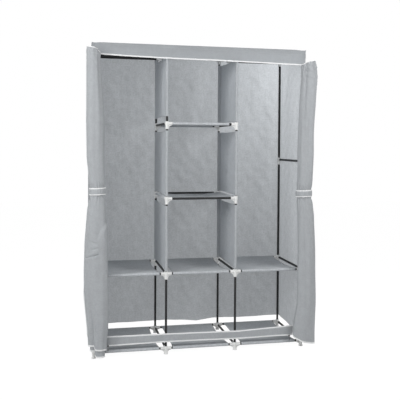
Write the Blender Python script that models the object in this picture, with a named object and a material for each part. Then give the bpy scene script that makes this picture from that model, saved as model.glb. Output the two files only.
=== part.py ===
# Fabric wardrobe on a frame of plug-together steel tubes.
# Metres, +Z up, +X to the viewer's right, the open front faces -Y.
# The origin is on the floor at the middle of the whole thing's box.

import bpy
import bmesh
from math import cos, sin, pi, radians
from mathutils import Vector

# Frame: four ladders of two posts stand side by side and make three columns.
column_pitch = 0.405
tier_pitch = 0.425
frame_depth = 0.425
foot_height = 0.033          # floor to the middle of the lowest rails
tiers_to_top = 4
column_count = 3
side_rail_level_share = 2.5  # outer ladders have their middle rung at this level

# Steel tube and plastic joint sizes
tube_radius = 0.0065
tube_wall = 0.0010
hub_half_width = 0.0095
hub_half_height = 0.0110
arm_radius = 0.0090
arm_length = 0.0310          # middle of the joint to the end of an arm
arm_root = 0.0020            # an arm starts this far from the post's middle
socket_depth = 0.0200
slip_gap = 0.0004            # clearance of a tube in its socket
rod_drop = 0.0385            # hanging rod below the top rungs
clip_length = 0.0240
clip_radius = 0.0100
round_sides = 8

# Fabric sizes
fabric_thickness = 0.0020
sleeve_gap = 0.0006          # sleeve round a tube
sleeve_wall = 0.0014
shelf_end_gap = 0.0380       # post's middle to the shelf's end
divider_end_gap = 0.0420       # post's joint to the end of a divider above or below it
divider_low_gap = 0.0150       # to the lower end of a divider that sits on the joint
shelf_sag = 0.0090
shelf_waist = 0.0060         # the open edges of a shelf draw in this far
open_edge_sag_share = 0.7    # a sling sags less at its open edges than in the middle
divider_sag = 0.0030
divider_waist = 0.0075         # the upper edges pass under the rod clips
seam_gap = 0.0004            # between two sewn panels
cover_gap = 0.0125           # post's middle to the inside of the cover
roof_rest_gap = 0.0004       # the roof lies on the top joints
roof_sag = 0.0030
wall_wave = 0.0040           # height of the folds in the back and side walls
hem_waves = 2.5
back_folds = 4.5
back_fold_lean = 2.0         # the back wall's folds wander this many radians from hem to roof
side_folds = 2
back_hem_rise = 0.0430       # back wall's hem above the lowest rails
side_hem_rise = 0.0400
side_hem_drop = 0.0350       # the side walls' hem comes down this far at the front
valance_height = 0.0700

# Band across the bottom of the front, with a zip tape on both edges
band_rise = 0.0330           # its lower edge above the lowest rails
band_height = 0.0590
tape_height = 0.0060
tape_thickness = 0.0040

# Doors, rolled up sideways and tied at the front corners
roll_stand_off = 0.0004      # between a door roll and the band behind it
roll_waist_half_width = 0.0440
roll_upper_half_width = 0.0500
roll_lower_half_width = 0.0600
roll_waist_half_depth = 0.0300
roll_half_depth = 0.0350
roll_fold_depth_share = 0.15
roll_folds = 6
roll_twist = 9.0             # how fast the folds wander round the roll, in radians for each metre
roll_ease = 0.2200           # length over which a roll swells away from its strap
roll_end_taper_share = 0.14
roll_taper_length = 0.1000
roll_foot_gap = 0.0280       # lowest point of a rolled door above the floor
roll_hem_rise = 0.0580       # the slanting hem of a rolled door
roll_top_drop_left = 0.0200  # top rails' middle to the top of the roll
roll_top_drop_right = 0.0520
strap_rise = 0.8900          # lowest rails to the middle of the strap
strap_height = 0.0360
strap_thickness = 0.0025
strap_gap = 0.0006

# Zip sliders with pull tabs on the band's lower tape
slider_length = 0.0110
slider_wall = 0.0014
slider_gap = 0.0004
slider_height = 0.0100
slider_inset = 0.0780        # outer post's middle to the parked slider
pull_length = 0.0260
pull_width = 0.0060
pull_thickness = 0.0012
pull_pin_radius = 0.0008
pull_eye_gap = 0.0004
pull_ear_length = 0.0014
pull_tab_inset = 0.0004      # the tab is this much narrower than its eye on each side

# Mesh fineness
sleeve_sides = 6
shelf_steps = 4
divider_steps = 2
roll_sides = 24
roll_steps_below = 9
roll_steps_above = 8
smooth_angle = 62

# Places that follow from the sizes
inner_x = column_pitch / 2
outer_x = column_count * column_pitch / 2
cover_half_width = outer_x + cover_gap
cover_half_depth = frame_depth / 2 + cover_gap
front_reach = cover_half_depth + (fabric_thickness + tape_thickness) / 2 + roll_stand_off + 2 * roll_half_depth
back_reach = cover_half_depth + wall_wave + fabric_thickness
frame_y = (front_reach - back_reach) / 2
front_y = frame_y - frame_depth / 2
back_y = frame_y + frame_depth / 2
top_z = foot_height + tiers_to_top * tier_pitch
roof_z = top_z + hub_half_height + roof_rest_gap
wall_top_z = roof_z - seam_gap

X = Vector((1, 0, 0))
Y = Vector((0, 1, 0))
Z = Vector((0, 0, 1))


def level_z(level):
    return foot_height + level * tier_pitch


def clear_scene():
    for thing in list(bpy.data.objects):
        bpy.data.objects.remove(thing)


def make_material(name, colour, roughness, metallic=0.0):
    material = bpy.data.materials.new(name)
    material.use_nodes = True
    shader = material.node_tree.nodes["Principled BSDF"]
    shader.inputs["Base Color"].default_value = (*colour, 1.0)
    shader.inputs["Roughness"].default_value = roughness
    shader.inputs["Metallic"].default_value = metallic
    return material


def make_materials():
    return {
        "steel": make_material("black_tube", (0.02, 0.02, 0.022), 0.35, 0.3),
        "plastic": make_material("white_plastic", (0.75, 0.76, 0.77), 0.45),
        "cover": make_material("grey_cover_cloth", (0.36, 0.38, 0.39), 0.9),
        "shelf": make_material("grey_shelf_cloth", (0.30, 0.32, 0.33), 0.9),
        "strap": make_material("strap_cloth", (0.45, 0.46, 0.48), 0.9),
        "zip": make_material("zip_metal", (0.20, 0.20, 0.21), 0.4, 0.8),
    }


def add_object(name, mesh_data, materials):
    mesh = bpy.data.meshes.new(name)
    mesh_data.to_mesh(mesh)
    mesh_data.free()
    thing = bpy.data.objects.new(name, mesh)
    for material in materials:
        mesh.materials.append(material)
    bpy.context.scene.collection.objects.link(thing)
    round_off(mesh)
    return thing


def round_off(mesh):
    mesh.shade_smooth()
    mesh.set_sharp_from_angle(angle=radians(smooth_angle))


def frame_axes(direction):
    # two directions square to the given one, so a turned shape has flats on them
    side = X if abs(direction.x) < 0.5 else Y
    return side, direction.cross(side)


def turned(profile, start, direction, sides=round_sides):
    # A closed turned shape: profile is a list of (distance, radius) along direction.
    data = bmesh.new()
    side, up = frame_axes(direction)
    rings = []
    for distance, radius in profile:
        centre = start + direction * distance
        ring = []
        for k in range(sides):
            angle = (k + 0.5) * 2 * pi / sides
            ring.append(data.verts.new(centre + (side * cos(angle) + up * sin(angle)) * radius))
        rings.append(ring)
    for low, high in zip(rings, rings[1:]):
        for k in range(sides):
            after = (k + 1) % sides
            data.faces.new((low[k], low[after], high[after], high[k]))
    data.faces.new(list(reversed(rings[0])))
    data.faces.new(rings[-1])
    bmesh.ops.recalc_face_normals(data, faces=data.faces)
    return data


def hollow_tube(name, start, direction, length, radius, wall, material):
    data = bmesh.new()
    side, up = frame_axes(direction)
    loops = []
    for distance, size in ((0, radius), (length, radius), (length, radius - wall), (0, radius - wall)):
        loop = []
        for k in range(round_sides):
            angle = (k + 0.5) * 2 * pi / round_sides
            place = start + direction * distance + (side * cos(angle) + up * sin(angle)) * size
            loop.append(data.verts.new(place))
        loops.append(loop)
    for i, loop in enumerate(loops):
        following = loops[(i + 1) % len(loops)]
        for k in range(round_sides):
            after = (k + 1) % round_sides
            data.faces.new((loop[k], loop[after], following[after], following[k]))
    bmesh.ops.recalc_face_normals(data, faces=data.faces)
    return add_object(name, data, [material])


def socket_arm(start, direction):
    # a plastic arm with a blind bore that a tube's end slides into
    bore = tube_radius + slip_gap
    profile = [(arm_root, arm_radius), (arm_length, arm_radius),
               (arm_length, bore), (arm_length - socket_depth, bore)]
    return turned(profile, start, direction)


def post(x, y, levels):
    # tubes and joint hubs of one upright, from its foot to the top joint
    profile = [(0, arm_radius)]
    for level in levels:
        middle = level_z(level)
        if level > 0:
            profile += [(middle - arm_length, tube_radius), (middle - arm_length, arm_radius)]
        if level < tiers_to_top:
            profile += [(middle, arm_radius), (middle, tube_radius)]
    profile.append((top_z, arm_radius))
    return turned(profile, Vector((x, y, 0)), Z)


def hub(x, y, z):
    # the block in the middle of a joint
    half = Vector((hub_half_width, hub_half_width, hub_half_height))
    middle = Vector((x, y, z))
    return box(middle - half, middle + half)


def rung(x, z):
    # a tube from front to back with a plastic arm round each end
    run = frame_depth - 2 * arm_root
    sleeve = arm_length - arm_root
    profile = [(0, arm_radius), (sleeve, arm_radius), (sleeve, tube_radius),
               (run - sleeve, tube_radius), (run - sleeve, arm_radius), (run, arm_radius)]
    return turned(profile, Vector((x, front_y + arm_root, z)), Y)


def rod_clip(x, inward):
    # a ring on the top rung with a socket for the hanging rod under it
    ring = turned([(-clip_length / 2, clip_radius), (clip_length / 2, clip_radius)],
                  Vector((x, frame_y, top_z)), Y)
    neck = turned([(0, arm_radius), (rod_drop, arm_radius)], Vector((x, frame_y, top_z)), -Z)
    bore = tube_radius + slip_gap
    cup = turned([(-arm_radius, clip_radius), (arm_length, clip_radius),
                  (arm_length, bore), (arm_length - socket_depth, bore)],
                 Vector((x, frame_y, top_z - rod_drop)), X * inward)
    return [ring, neck, cup]


def unite(name, pieces, materials):
    # one closed body from shapes that overlap
    base = add_object(name, pieces[0], materials)
    others = bpy.data.collections.new(name + "_pieces")
    helpers = []
    for i, piece in enumerate(pieces[1:]):
        helper = add_object(f"{name}_piece_{i}", piece, materials)
        bpy.context.scene.collection.objects.unlink(helper)
        others.objects.link(helper)
        helpers.append(helper)
    bpy.context.scene.collection.children.link(others)
    union = base.modifiers.new("joined", "BOOLEAN")
    union.operation = "UNION"
    union.operand_type = "COLLECTION"
    union.collection = others
    union.solver = "EXACT"
    bpy.context.view_layer.update()
    evaluated = base.evaluated_get(bpy.context.evaluated_depsgraph_get())
    merged = bpy.data.meshes.new_from_object(evaluated)
    base.modifiers.remove(union)
    base.data = merged
    round_off(merged)
    for helper in helpers:
        bpy.data.objects.remove(helper)
    bpy.data.collections.remove(others)
    return base


def ladder(name, x, levels, arms, rod_side, materials):
    # arms lists (level, direction) for the sockets that hold the cross rails
    pieces = [post(x, front_y, levels), post(x, back_y, levels)]
    for level in levels:
        pieces.append(rung(x, level_z(level)))
        pieces += [hub(x, y, level_z(level)) for y in (front_y, back_y)]
    for level, direction in arms:
        for y in (front_y, back_y):
            pieces.append(socket_arm(Vector((x, y, level_z(level))), X * direction))
    pieces += rod_clip(x, rod_side)
    thing = unite(name, pieces, [materials["steel"], materials["plastic"]])
    paint_joints(thing, x, levels)
    return thing


def paint_joints(thing, x, levels):
    # faces near a joint take the plastic, the rest is tube
    reach = arm_length + slip_gap
    for face in thing.data.polygons:
        place = face.center
        near_post = min(abs(place.y - front_y), abs(place.y - back_y)) < reach
        near_level = min(abs(place.z - level_z(level)) for level in levels) < reach
        near_clip = abs(place.y - frame_y) < clip_length and place.z > top_z - 2 * rod_drop
        on_foot = place.z < foot_height
        face.material_index = 1 if (near_post and near_level) or near_clip or on_foot else 0


def build_frame(materials):
    outer_levels = (0, 1, side_rail_level_share, tiers_to_top)
    inner_levels = (0, 1, 2, 3, tiers_to_top)
    side_arms = (0, 1, tiers_to_top)
    outer_left = [(level, 1) for level in side_arms]
    outer_right = [(level, -1) for level in side_arms]
    inner_left = [(level, -1) for level in side_arms] + [(level, 1) for level in inner_levels]
    inner_right = [(level, 1) for level in side_arms] + [(level, -1) for level in inner_levels]
    ladder("left_outer_ladder", -outer_x, outer_levels, outer_left, 1, materials)
    ladder("left_inner_ladder", -inner_x, inner_levels, inner_left, -1, materials)
    ladder("right_inner_ladder", inner_x, inner_levels, inner_right, 1, materials)
    ladder("right_outer_ladder", outer_x, outer_levels, outer_right, -1, materials)


def cross_tube(name, left_x, y, z, materials):
    # a tube between the blind ends of two sockets that face each other
    inset = arm_length - socket_depth + slip_gap
    start = Vector((left_x + inset, y, z))
    hollow_tube(name, start, X, column_pitch - 2 * inset, tube_radius, tube_wall, materials["steel"])


def build_rails(materials):
    columns = {"left": -outer_x, "middle": -inner_x, "right": inner_x}
    levels = {"bottom": 0, "lower_shelf": 1, "mid_shelf": 2, "upper_shelf": 3, "top": tiers_to_top}
    for row, y in (("front", front_y), ("back", back_y)):
        for level_name, level in levels.items():
            for column, left_x in columns.items():
                if level in (2, 3) and column != "middle":
                    continue
                cross_tube(f"{row}_{level_name}_rail_{column}", left_x, y, level_z(level), materials)
    for column in ("left", "right"):
        cross_tube(f"{column}_hanging_rod", columns[column], frame_y, top_z - rod_drop, materials)


def sleeve_ring(data, centre, across, normal, radius):
    ring = []
    for k in range(sleeve_sides):
        angle = (k + 0.5) * 2 * pi / sleeve_sides
        ring.append(data.verts.new(centre + (across * cos(angle) + normal * sin(angle)) * radius))
    return ring


def sling_section(data, share, start, along, across, normal, length, span, sag, waist):
    # one cut through the sling: two sleeves and the cloth stretched between them
    inner = (tube_radius + sleeve_gap) / cos(pi / sleeve_sides)
    outer = inner + sleeve_wall
    base = start + along * (length * share)
    far = base + across * span
    first = [sleeve_ring(data, base, across, normal, size) for size in (outer, inner)]
    second = [sleeve_ring(data, far, across, normal, size) for size in (outer, inner)]
    edge = outer * cos(pi / sleeve_sides)
    lower, upper = [], []
    for i in range(1, shelf_steps):
        place = i / shelf_steps
        bulge = 4 * place * (1 - place)
        pull = (0.5 - share) * 2 * waist * bulge
        drop = sag * bulge * (open_edge_sag_share + (1 - open_edge_sag_share) * sin(pi * share))
        centre = base + across * (edge + place * (span - 2 * edge)) + along * pull - normal * drop
        lower.append(data.verts.new(centre - normal * (fabric_thickness / 2)))
        upper.append(data.verts.new(centre + normal * (fabric_thickness / 2)))
    return first, second, lower, upper


def section_loop(section):
    first, second, lower, upper = section
    half = sleeve_sides // 2
    far_ring = second[0][half:] + second[0][:half]
    return first[0] + lower + far_ring + list(reversed(upper))


def join_loops(data, low, high):
    count = len(low)
    for k in range(count):
        after = (k + 1) % count
        data.faces.new((low[k], low[after], high[after], high[k]))


def cap_section(data, section):
    first, second, lower, upper = section
    half = sleeve_sides // 2
    for outer, inner in (first, second):
        join_loops(data, outer, inner)
    low_line = [first[0][-1]] + lower + [second[0][half]]
    high_line = [first[0][0]] + upper + [second[0][half - 1]]
    for i in range(len(low_line) - 1):
        data.faces.new((low_line[i], low_line[i + 1], high_line[i + 1], high_line[i]))


def sling(name, start, along, across, normal, length, span, sag, waist, steps, material):
    # cloth with a sewn sleeve on both edges, pulled over two parallel tubes
    data = bmesh.new()
    sections = []
    for i in range(steps + 1):
        share = i / steps
        sections.append(sling_section(data, share, start, along, across, normal,
                                      length, span, sag, waist))
    for low, high in zip(sections, sections[1:]):
        join_loops(data, section_loop(low), section_loop(high))
        join_loops(data, low[0][1], high[0][1])
        join_loops(data, low[1][1], high[1][1])
    cap_section(data, sections[0])
    cap_section(data, sections[-1])
    bmesh.ops.recalc_face_normals(data, faces=data.faces)
    return add_object(name, data, [material])


def build_shelves(materials):
    length = column_pitch - 2 * shelf_end_gap
    columns = {"left": -outer_x, "middle": -inner_x, "right": inner_x}
    places = [("bottom_shelf", 0, column) for column in columns]
    places += [("lower_shelf", 1, column) for column in columns]
    places.append(("upper_shelf", 3, "middle"))
    for shelf, level, column in places:
        start = Vector((columns[column] + shelf_end_gap, front_y, level_z(level)))
        name = shelf if level == 3 else f"{shelf}_{column}"
        sling(name, start, X, Y, Z, length, frame_depth, shelf_sag, shelf_waist,
              shelf_steps, materials["shelf"])
    # the mid shelf hangs on the side tubes, so its front and back tubes stay bare
    start = Vector((-inner_x, front_y + shelf_end_gap, level_z(2)))
    depth = frame_depth - 2 * shelf_end_gap
    sling("mid_shelf", start, Y, X, Z, depth, column_pitch, shelf_sag, shelf_waist,
          shelf_steps, materials["shelf"])


def build_dividers(materials):
    # each panel sits low on the joints below it, apart from the upper left one
    for side, x in (("left", -inner_x), ("right", inner_x)):
        for tier, level in (("lower", 1), ("middle", 2), ("upper", 3)):
            high_sitting = (side, tier) == ("left", "upper")
            low_gap = divider_end_gap if high_sitting else divider_low_gap
            length = tier_pitch - divider_end_gap - low_gap
            start = Vector((x, front_y, level_z(level) + low_gap))
            sling(f"{side}_divider_{tier}", start, Z, Y, X, length, frame_depth,
                  divider_sag, divider_waist, divider_steps, materials["cover"])


def panel(name, columns, rows, surface, out, thickness, material):
    # A closed sheet: surface(u, v) gives the inside, out is the way it thickens.
    data = bmesh.new()
    sheets = []
    for depth in (0, thickness):
        grid = []
        for i in range(columns + 1):
            line = []
            for j in range(rows + 1):
                line.append(data.verts.new(surface(i / columns, j / rows) + out * depth))
            grid.append(line)
        sheets.append(grid)
    for grid in sheets:
        for i in range(columns):
            for j in range(rows):
                data.faces.new((grid[i][j], grid[i + 1][j], grid[i + 1][j + 1], grid[i][j + 1]))
    join_loops(data, rim(sheets[0], columns, rows), rim(sheets[1], columns, rows))
    bmesh.ops.recalc_face_normals(data, faces=data.faces)
    return add_object(name, data, [material])


def rim(grid, columns, rows):
    loop = [grid[i][0] for i in range(columns)]
    loop += [grid[columns][j] for j in range(rows)]
    loop += [grid[i][rows] for i in range(columns, 0, -1)]
    loop += [grid[0][j] for j in range(rows, 0, -1)]
    return loop


def back_surface(u, v):
    # upright folds that flatten towards the sewn edges, and a wavy hem
    hem = level_z(0) + back_hem_rise + wall_wave * sin(2 * pi * hem_waves * u)
    fold = 0.5 + 0.5 * sin(2 * pi * back_folds * u + back_fold_lean * v)
    wave = wall_wave * fold * sin(pi * u) * (1 - v * v)
    x = (2 * u - 1) * (cover_half_width - seam_gap)
    return Vector((x, frame_y + cover_half_depth + wave, hem + (wall_top_z - hem) * v))


def side_surface(side, u, v):
    # u runs from the front to the back; the hem drops towards the front
    hem = level_z(0) + side_hem_rise - side_hem_drop * (1 - u) ** 2
    wave = wall_wave * (0.5 - 0.5 * cos(2 * pi * side_folds * u)) * sin(pi * v)
    front = frame_y - cover_half_depth + (tape_thickness - fabric_thickness) / 2 + seam_gap
    back = frame_y + cover_half_depth - seam_gap
    return Vector((side * (cover_half_width - wave), front + (back - front) * u, hem + (wall_top_z - hem) * v))


def roof_surface(u, v):
    # the roof lies on the rungs and sinks a little over each column
    reach_x = cover_half_width + fabric_thickness
    reach_y = cover_half_depth + fabric_thickness
    sag = roof_sag * sin(column_count * pi * u) ** 2 * sin(pi * v)
    x = (2 * u - 1) * reach_x
    y = frame_y + (2 * v - 1) * reach_y
    return Vector((x, y, roof_z - sag))


def valance_surface(u, v):
    x = (2 * u - 1) * (cover_half_width + fabric_thickness)
    drop = valance_height * (1 - v)
    return Vector((x, frame_y - cover_half_depth - seam_gap, wall_top_z - drop))


def build_cover(materials):
    cloth = materials["cover"]
    panel("back_wall", 18, 4, back_surface, Y, fabric_thickness, cloth)
    for name, side in (("left_wall", -1), ("right_wall", 1)):
        panel(name, 8, 4, lambda u, v, s=side: side_surface(s, u, v), X * side, fabric_thickness, cloth)
    panel("roof", 6, 4, roof_surface, Z, fabric_thickness, cloth)
    panel("front_valance", 6, 1, valance_surface, -Y, fabric_thickness, cloth)
    build_band(cloth)


def build_band(cloth):
    # sheet with a thicker tape along both edges, drawn as one outline and pulled along X
    low = level_z(0) + band_rise
    high = low + band_height
    half_sheet = fabric_thickness / 2
    half_tape = tape_thickness / 2
    side = [(half_tape, low), (half_tape, low + tape_height), (half_sheet, low + tape_height),
            (half_sheet, high - tape_height), (half_tape, high - tape_height), (half_tape, high)]
    outline = side + [(-y, z) for y, z in reversed(side)]
    data = bmesh.new()
    loops = []
    for x in (-cover_half_width, cover_half_width):
        loops.append([data.verts.new(Vector((x, band_y() + y, z))) for y, z in outline])
    join_loops(data, loops[0], loops[1])
    for loop in loops:
        data.faces.new(loop)
    bmesh.ops.recalc_face_normals(data, faces=data.faces)
    return add_object("front_band", data, [cloth])


def band_y():
    return frame_y - cover_half_depth - fabric_thickness / 2


def smooth(value):
    value = min(max(value, 0), 1)
    return value * value * (3 - 2 * value)


def roll_size(z, low, high):
    # half width, half depth and fold share of a rolled door at height z
    strap_z = level_z(0) + strap_rise
    away = abs(z - strap_z) - strap_height / 2 - strap_gap
    swell = smooth(away / roll_ease)
    full = roll_lower_half_width if z < strap_z else roll_upper_half_width
    near_end = min(z - low, high - z) / roll_taper_length
    taper = 1 - roll_end_taper_share * (1 - smooth(near_end))
    width = (roll_waist_half_width + (full - roll_waist_half_width) * swell) * taper
    depth = (roll_waist_half_depth + (roll_half_depth - roll_waist_half_depth) * swell) * taper
    return width, depth, roll_fold_depth_share * swell


def roll_back_y():
    return band_y() - tape_thickness / 2 - roll_stand_off


def roll_ring(side, z, low, high, grow, slant):
    # The folds only press in from the oval, so the roll keeps inside its sizes.
    width, depth, folds = roll_size(z, low, high)
    centre_y = roll_back_y() - depth
    ring = []
    for k in range(roll_sides):
        angle = 2 * pi * k / roll_sides
        inward = 1 - folds * (0.5 + 0.5 * cos(roll_folds * angle + roll_twist * (z - low)))
        x = side * outer_x + side * (width * inward + grow) * cos(angle)
        y = centre_y + (depth * inward + grow) * sin(angle)
        lift = slant * (0.5 - 0.5 * cos(angle))
        ring.append(Vector((x, y, z + lift)))
    return ring


def strap_span():
    middle = level_z(0) + strap_rise
    return middle - strap_height / 2, middle + strap_height / 2


def roll_heights(low, high):
    strap_low, strap_high = strap_span()
    strap_low -= strap_gap
    strap_high += strap_gap
    below = [low + (strap_low - low) * i / roll_steps_below for i in range(roll_steps_below + 1)]
    above = [strap_high + (high - strap_high) * i / roll_steps_above for i in range(roll_steps_above + 1)]
    return below + above


def rolled_door(name, side, top_drop, material):
    low = roll_foot_gap
    high = top_z - top_drop
    data = bmesh.new()
    rings = []
    for z in roll_heights(low, high):
        slant = roll_hem_rise if z == low else 0
        places = roll_ring(side, z, low, high, 0, slant)
        rings.append([data.verts.new(place) for place in places])
    for lower, upper in zip(rings, rings[1:]):
        join_loops(data, lower, upper)
    data.faces.new(rings[0])
    data.faces.new(rings[-1])
    bmesh.ops.recalc_face_normals(data, faces=data.faces)
    return add_object(name, data, [material])


def door_strap(name, side, top_drop, material):
    low = roll_foot_gap
    high = top_z - top_drop
    strap_low, strap_high = strap_span()
    data = bmesh.new()
    loops = []
    for z, grow in ((strap_low, strap_gap), (strap_high, strap_gap),
                    (strap_high, strap_gap + strap_thickness), (strap_low, strap_gap + strap_thickness)):
        places = roll_ring(side, z, low, high, grow, 0)
        loops.append([data.verts.new(place) for place in places])
    for i, loop in enumerate(loops):
        join_loops(data, loop, loops[(i + 1) % len(loops)])
    bmesh.ops.recalc_face_normals(data, faces=data.faces)
    return add_object(name, data, [material])


def build_doors(materials):
    for word, side, drop in (("left", -1, roll_top_drop_left), ("right", 1, roll_top_drop_right)):
        rolled_door(f"{word}_rolled_door", side, drop, materials["cover"])
        door_strap(f"{word}_door_strap", side, drop, materials["strap"])


def box(low, high):
    data = bmesh.new()
    corners = []
    for z in (low[2], high[2]):
        for x, y in ((low[0], low[1]), (high[0], low[1]), (high[0], high[1]), (low[0], high[1])):
            corners.append(data.verts.new((x, y, z)))
    join_loops(data, corners[:4], corners[4:])
    data.faces.new(corners[:4])
    data.faces.new(corners[4:])
    bmesh.ops.recalc_face_normals(data, faces=data.faces)
    return data


def slider_outline():
    # a U that grips the lower tape from below, seen along X
    low = level_z(0) + band_rise
    slot = tape_thickness / 2 + slider_gap
    out = slot + slider_wall
    floor = low - slider_gap
    top = floor - slider_wall + slider_height
    side = [(out, floor - slider_wall), (out, top), (slot, top), (slot, floor)]
    return side + [(-y, z) for y, z in reversed(side)]


def slider(name, x, materials):
    data = bmesh.new()
    loops = []
    for edge in (-slider_length / 2, slider_length / 2):
        loops.append([data.verts.new(Vector((x + edge, band_y() + y, z))) for y, z in slider_outline()])
    join_loops(data, loops[0], loops[1])
    for loop in loops:
        data.faces.new(loop)
    bmesh.ops.recalc_face_normals(data, faces=data.faces)
    pieces = [data]
    front = slider_front_y()
    for way in (-1, 1):
        inner = way * (pull_width / 2 + pull_eye_gap)
        outer = inner + way * pull_ear_length
        low_x, high_x = sorted((x + inner, x + outer))
        reach = pull_pin_y() - pull_pin_radius
        pieces.append(box((low_x, reach, pull_pin_z() - pull_pin_radius * 2),
                          (high_x, front + slider_wall / 2, pull_pin_z() + pull_pin_radius * 2)))
    half_pin = pull_width / 2 + pull_eye_gap + pull_ear_length / 2
    pin = turned([(-half_pin, pull_pin_radius), (half_pin, pull_pin_radius)],
                 Vector((x, pull_pin_y(), pull_pin_z())), X)
    pieces.append(pin)
    return unite(name, pieces, [materials["zip"]])


def slider_front_y():
    return band_y() - tape_thickness / 2 - slider_gap - slider_wall


def pull_eye_radius():
    return pull_pin_radius + pull_eye_gap


def pull_rim_radius():
    return pull_eye_radius() + pull_thickness


def pull_pin_y():
    return slider_front_y() - pull_rim_radius() - pull_eye_gap


def pull_pin_z():
    return level_z(0) + band_rise - slider_gap - slider_wall + slider_height / 2


def pull_tab(name, x, materials):
    # an eye round the pin with a flat tab hanging from it
    data = bmesh.new()
    rings = []
    for edge in (-pull_width / 2, pull_width / 2):
        centre = Vector((x + edge, pull_pin_y(), pull_pin_z()))
        pair = []
        for radius in (pull_rim_radius(), pull_eye_radius() / cos(pi / round_sides)):
            ring = []
            for k in range(round_sides):
                angle = (k + 0.5) * 2 * pi / round_sides
                ring.append(data.verts.new(centre + (Y * cos(angle) + Z * sin(angle)) * radius))
            pair.append(ring)
        rings.append(pair)
    join_loops(data, rings[0][0], rings[1][0])
    join_loops(data, rings[0][1], rings[1][1])
    for pair in rings:
        join_loops(data, pair[0], pair[1])
    bmesh.ops.recalc_face_normals(data, faces=data.faces)
    half = pull_thickness / 2
    reach = pull_width / 2 - pull_tab_inset
    tab = box((x - reach, pull_pin_y() - half, pull_pin_z() - pull_length),
              (x + reach, pull_pin_y() + half, pull_pin_z() - pull_eye_radius() - half))
    return unite(name, [data, tab], [materials["zip"]])


def build_zips(materials):
    for word, side in (("left", -1), ("right", 1)):
        x = side * (outer_x - slider_inset)
        slider(f"{word}_zip_slider", x, materials)
        pull_tab(f"{word}_zip_pull", x, materials)


def main():
    clear_scene()
    materials = make_materials()
    build_frame(materials)
    build_rails(materials)
    build_shelves(materials)
    build_dividers(materials)
    build_cover(materials)
    build_doors(materials)
    build_zips(materials)


main()
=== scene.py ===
import math

import bmesh
import bpy
import numpy as np
from mathutils import Matrix, Vector


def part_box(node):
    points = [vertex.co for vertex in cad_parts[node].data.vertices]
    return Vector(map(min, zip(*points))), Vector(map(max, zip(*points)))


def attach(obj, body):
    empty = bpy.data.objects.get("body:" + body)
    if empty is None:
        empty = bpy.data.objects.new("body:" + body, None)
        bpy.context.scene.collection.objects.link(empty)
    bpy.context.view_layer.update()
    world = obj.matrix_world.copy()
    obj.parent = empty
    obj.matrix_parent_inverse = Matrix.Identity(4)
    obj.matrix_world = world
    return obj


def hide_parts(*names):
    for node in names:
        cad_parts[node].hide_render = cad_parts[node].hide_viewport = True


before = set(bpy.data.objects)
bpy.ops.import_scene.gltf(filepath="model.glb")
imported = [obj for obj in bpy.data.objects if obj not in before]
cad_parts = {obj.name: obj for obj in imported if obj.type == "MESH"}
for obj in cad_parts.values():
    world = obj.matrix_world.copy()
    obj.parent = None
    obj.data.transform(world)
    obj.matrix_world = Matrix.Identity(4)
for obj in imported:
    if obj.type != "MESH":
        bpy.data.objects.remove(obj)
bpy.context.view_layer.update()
tau = 2 * math.pi
axisX, axisY, axisZ = np.eye(3)


# where things are
def nodeMiddle(node):
    # half-way between the two corners of a CAD node's box
    low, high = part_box(node)
    return (low + high) / 2


layout = {
    "frontY": nodeMiddle("front_bottom_rail_middle").y,
    "backY": nodeMiddle("back_bottom_rail_middle").y,
    "bottomZ": nodeMiddle("front_bottom_rail_middle").z,
    "topZ": nodeMiddle("front_top_rail_middle").z,
    "columnPitch": nodeMiddle("front_bottom_rail_right").x,
    "rodY": nodeMiddle("left_hanging_rod").y,
    "rodZ": nodeMiddle("left_hanging_rod").z,
}
layout["tierPitch"] = (layout["topZ"] - layout["bottomZ"]) / 4
frameDepth = layout["backY"] - layout["frontY"]
postShare = {"leftOuter": -1.5, "leftInner": -0.5, "rightInner": 0.5, "rightOuter": 1.5}
postX = {name: share * layout["columnPitch"] for name, share in postShare.items()}
columnLeftX = {"left": postX["leftOuter"], "middle": postX["leftInner"], "right": postX["rightInner"]}
rowY = {"Front": layout["frontY"], "Back": layout["backY"]}
sides = {"left": -1, "right": 1}


def levelZ(level):
    # the bottom tubes' height plus that many tiers
    return layout["bottomZ"] + level * layout["tierPitch"]


# numbers to shapes
def smoothStep(low, high, value):
    # 0 below low, 1 above high, 3t2 - 2t3 between them
    share = np.clip((np.asarray(value, float) - low) / (high - low), 0, 1)
    return share * share * (3 - 2 * share)


def bellCurve(value, middle, width):
    # exp(-((value - middle) / width)^2)
    return np.exp(-(((value - middle) / width) ** 2))


def ripples(a, b, seed, longest, waves=8):
    # smooth noise about -1 to 1: a sum of sine waves with seeded directions, lengths and phases
    draw = np.random.default_rng(seed)
    total = 0
    for _ in range(waves):
        turn, length, phase = draw.uniform(0, tau), longest * draw.uniform(0.3, 1), draw.uniform(0, tau)
        total = total + np.sin(tau * (a * math.cos(turn) + b * math.sin(turn)) / length + phase)
    return total / math.sqrt(waves)


def unit(vectors):
    # each vector divided by its own length
    return vectors / np.maximum(np.linalg.norm(vectors, axis=-1, keepdims=True), 1e-12)


def runLength(points, closed=False):
    # distance along a row of points, from 0
    points = np.vstack([points, points[:1]]) if closed else points
    steps = np.linalg.norm(np.diff(points, axis=0), axis=-1)
    return np.concatenate([[0], np.cumsum(steps)])


def facing(points, direction):
    # the same direction at every point
    return np.broadcast_to(np.asarray(direction, float), points.shape)


def unitGrid(rows, cols):
    # shares from 0 to 1 down the rows and along the columns
    return np.meshgrid(np.linspace(0, 1, rows), np.linspace(0, 1, cols), indexing="ij")


def placeMap(along, across):
    # a grid of (along, across), one for each pair of the two rows of places
    return np.stack(np.meshgrid(along, across, indexing="ij"), axis=-1)


def clothMaps(u, v, toSide, toEnd):
    # the place on the cloth, and for the stitches (distance to the nearest edge, place along that edge)
    hem = np.stack([np.minimum(toSide, toEnd), np.where(toSide < toEnd, v, u)], axis=-1)
    return {"cloth": np.stack([u, v], axis=-1), "hem": hem}


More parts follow.
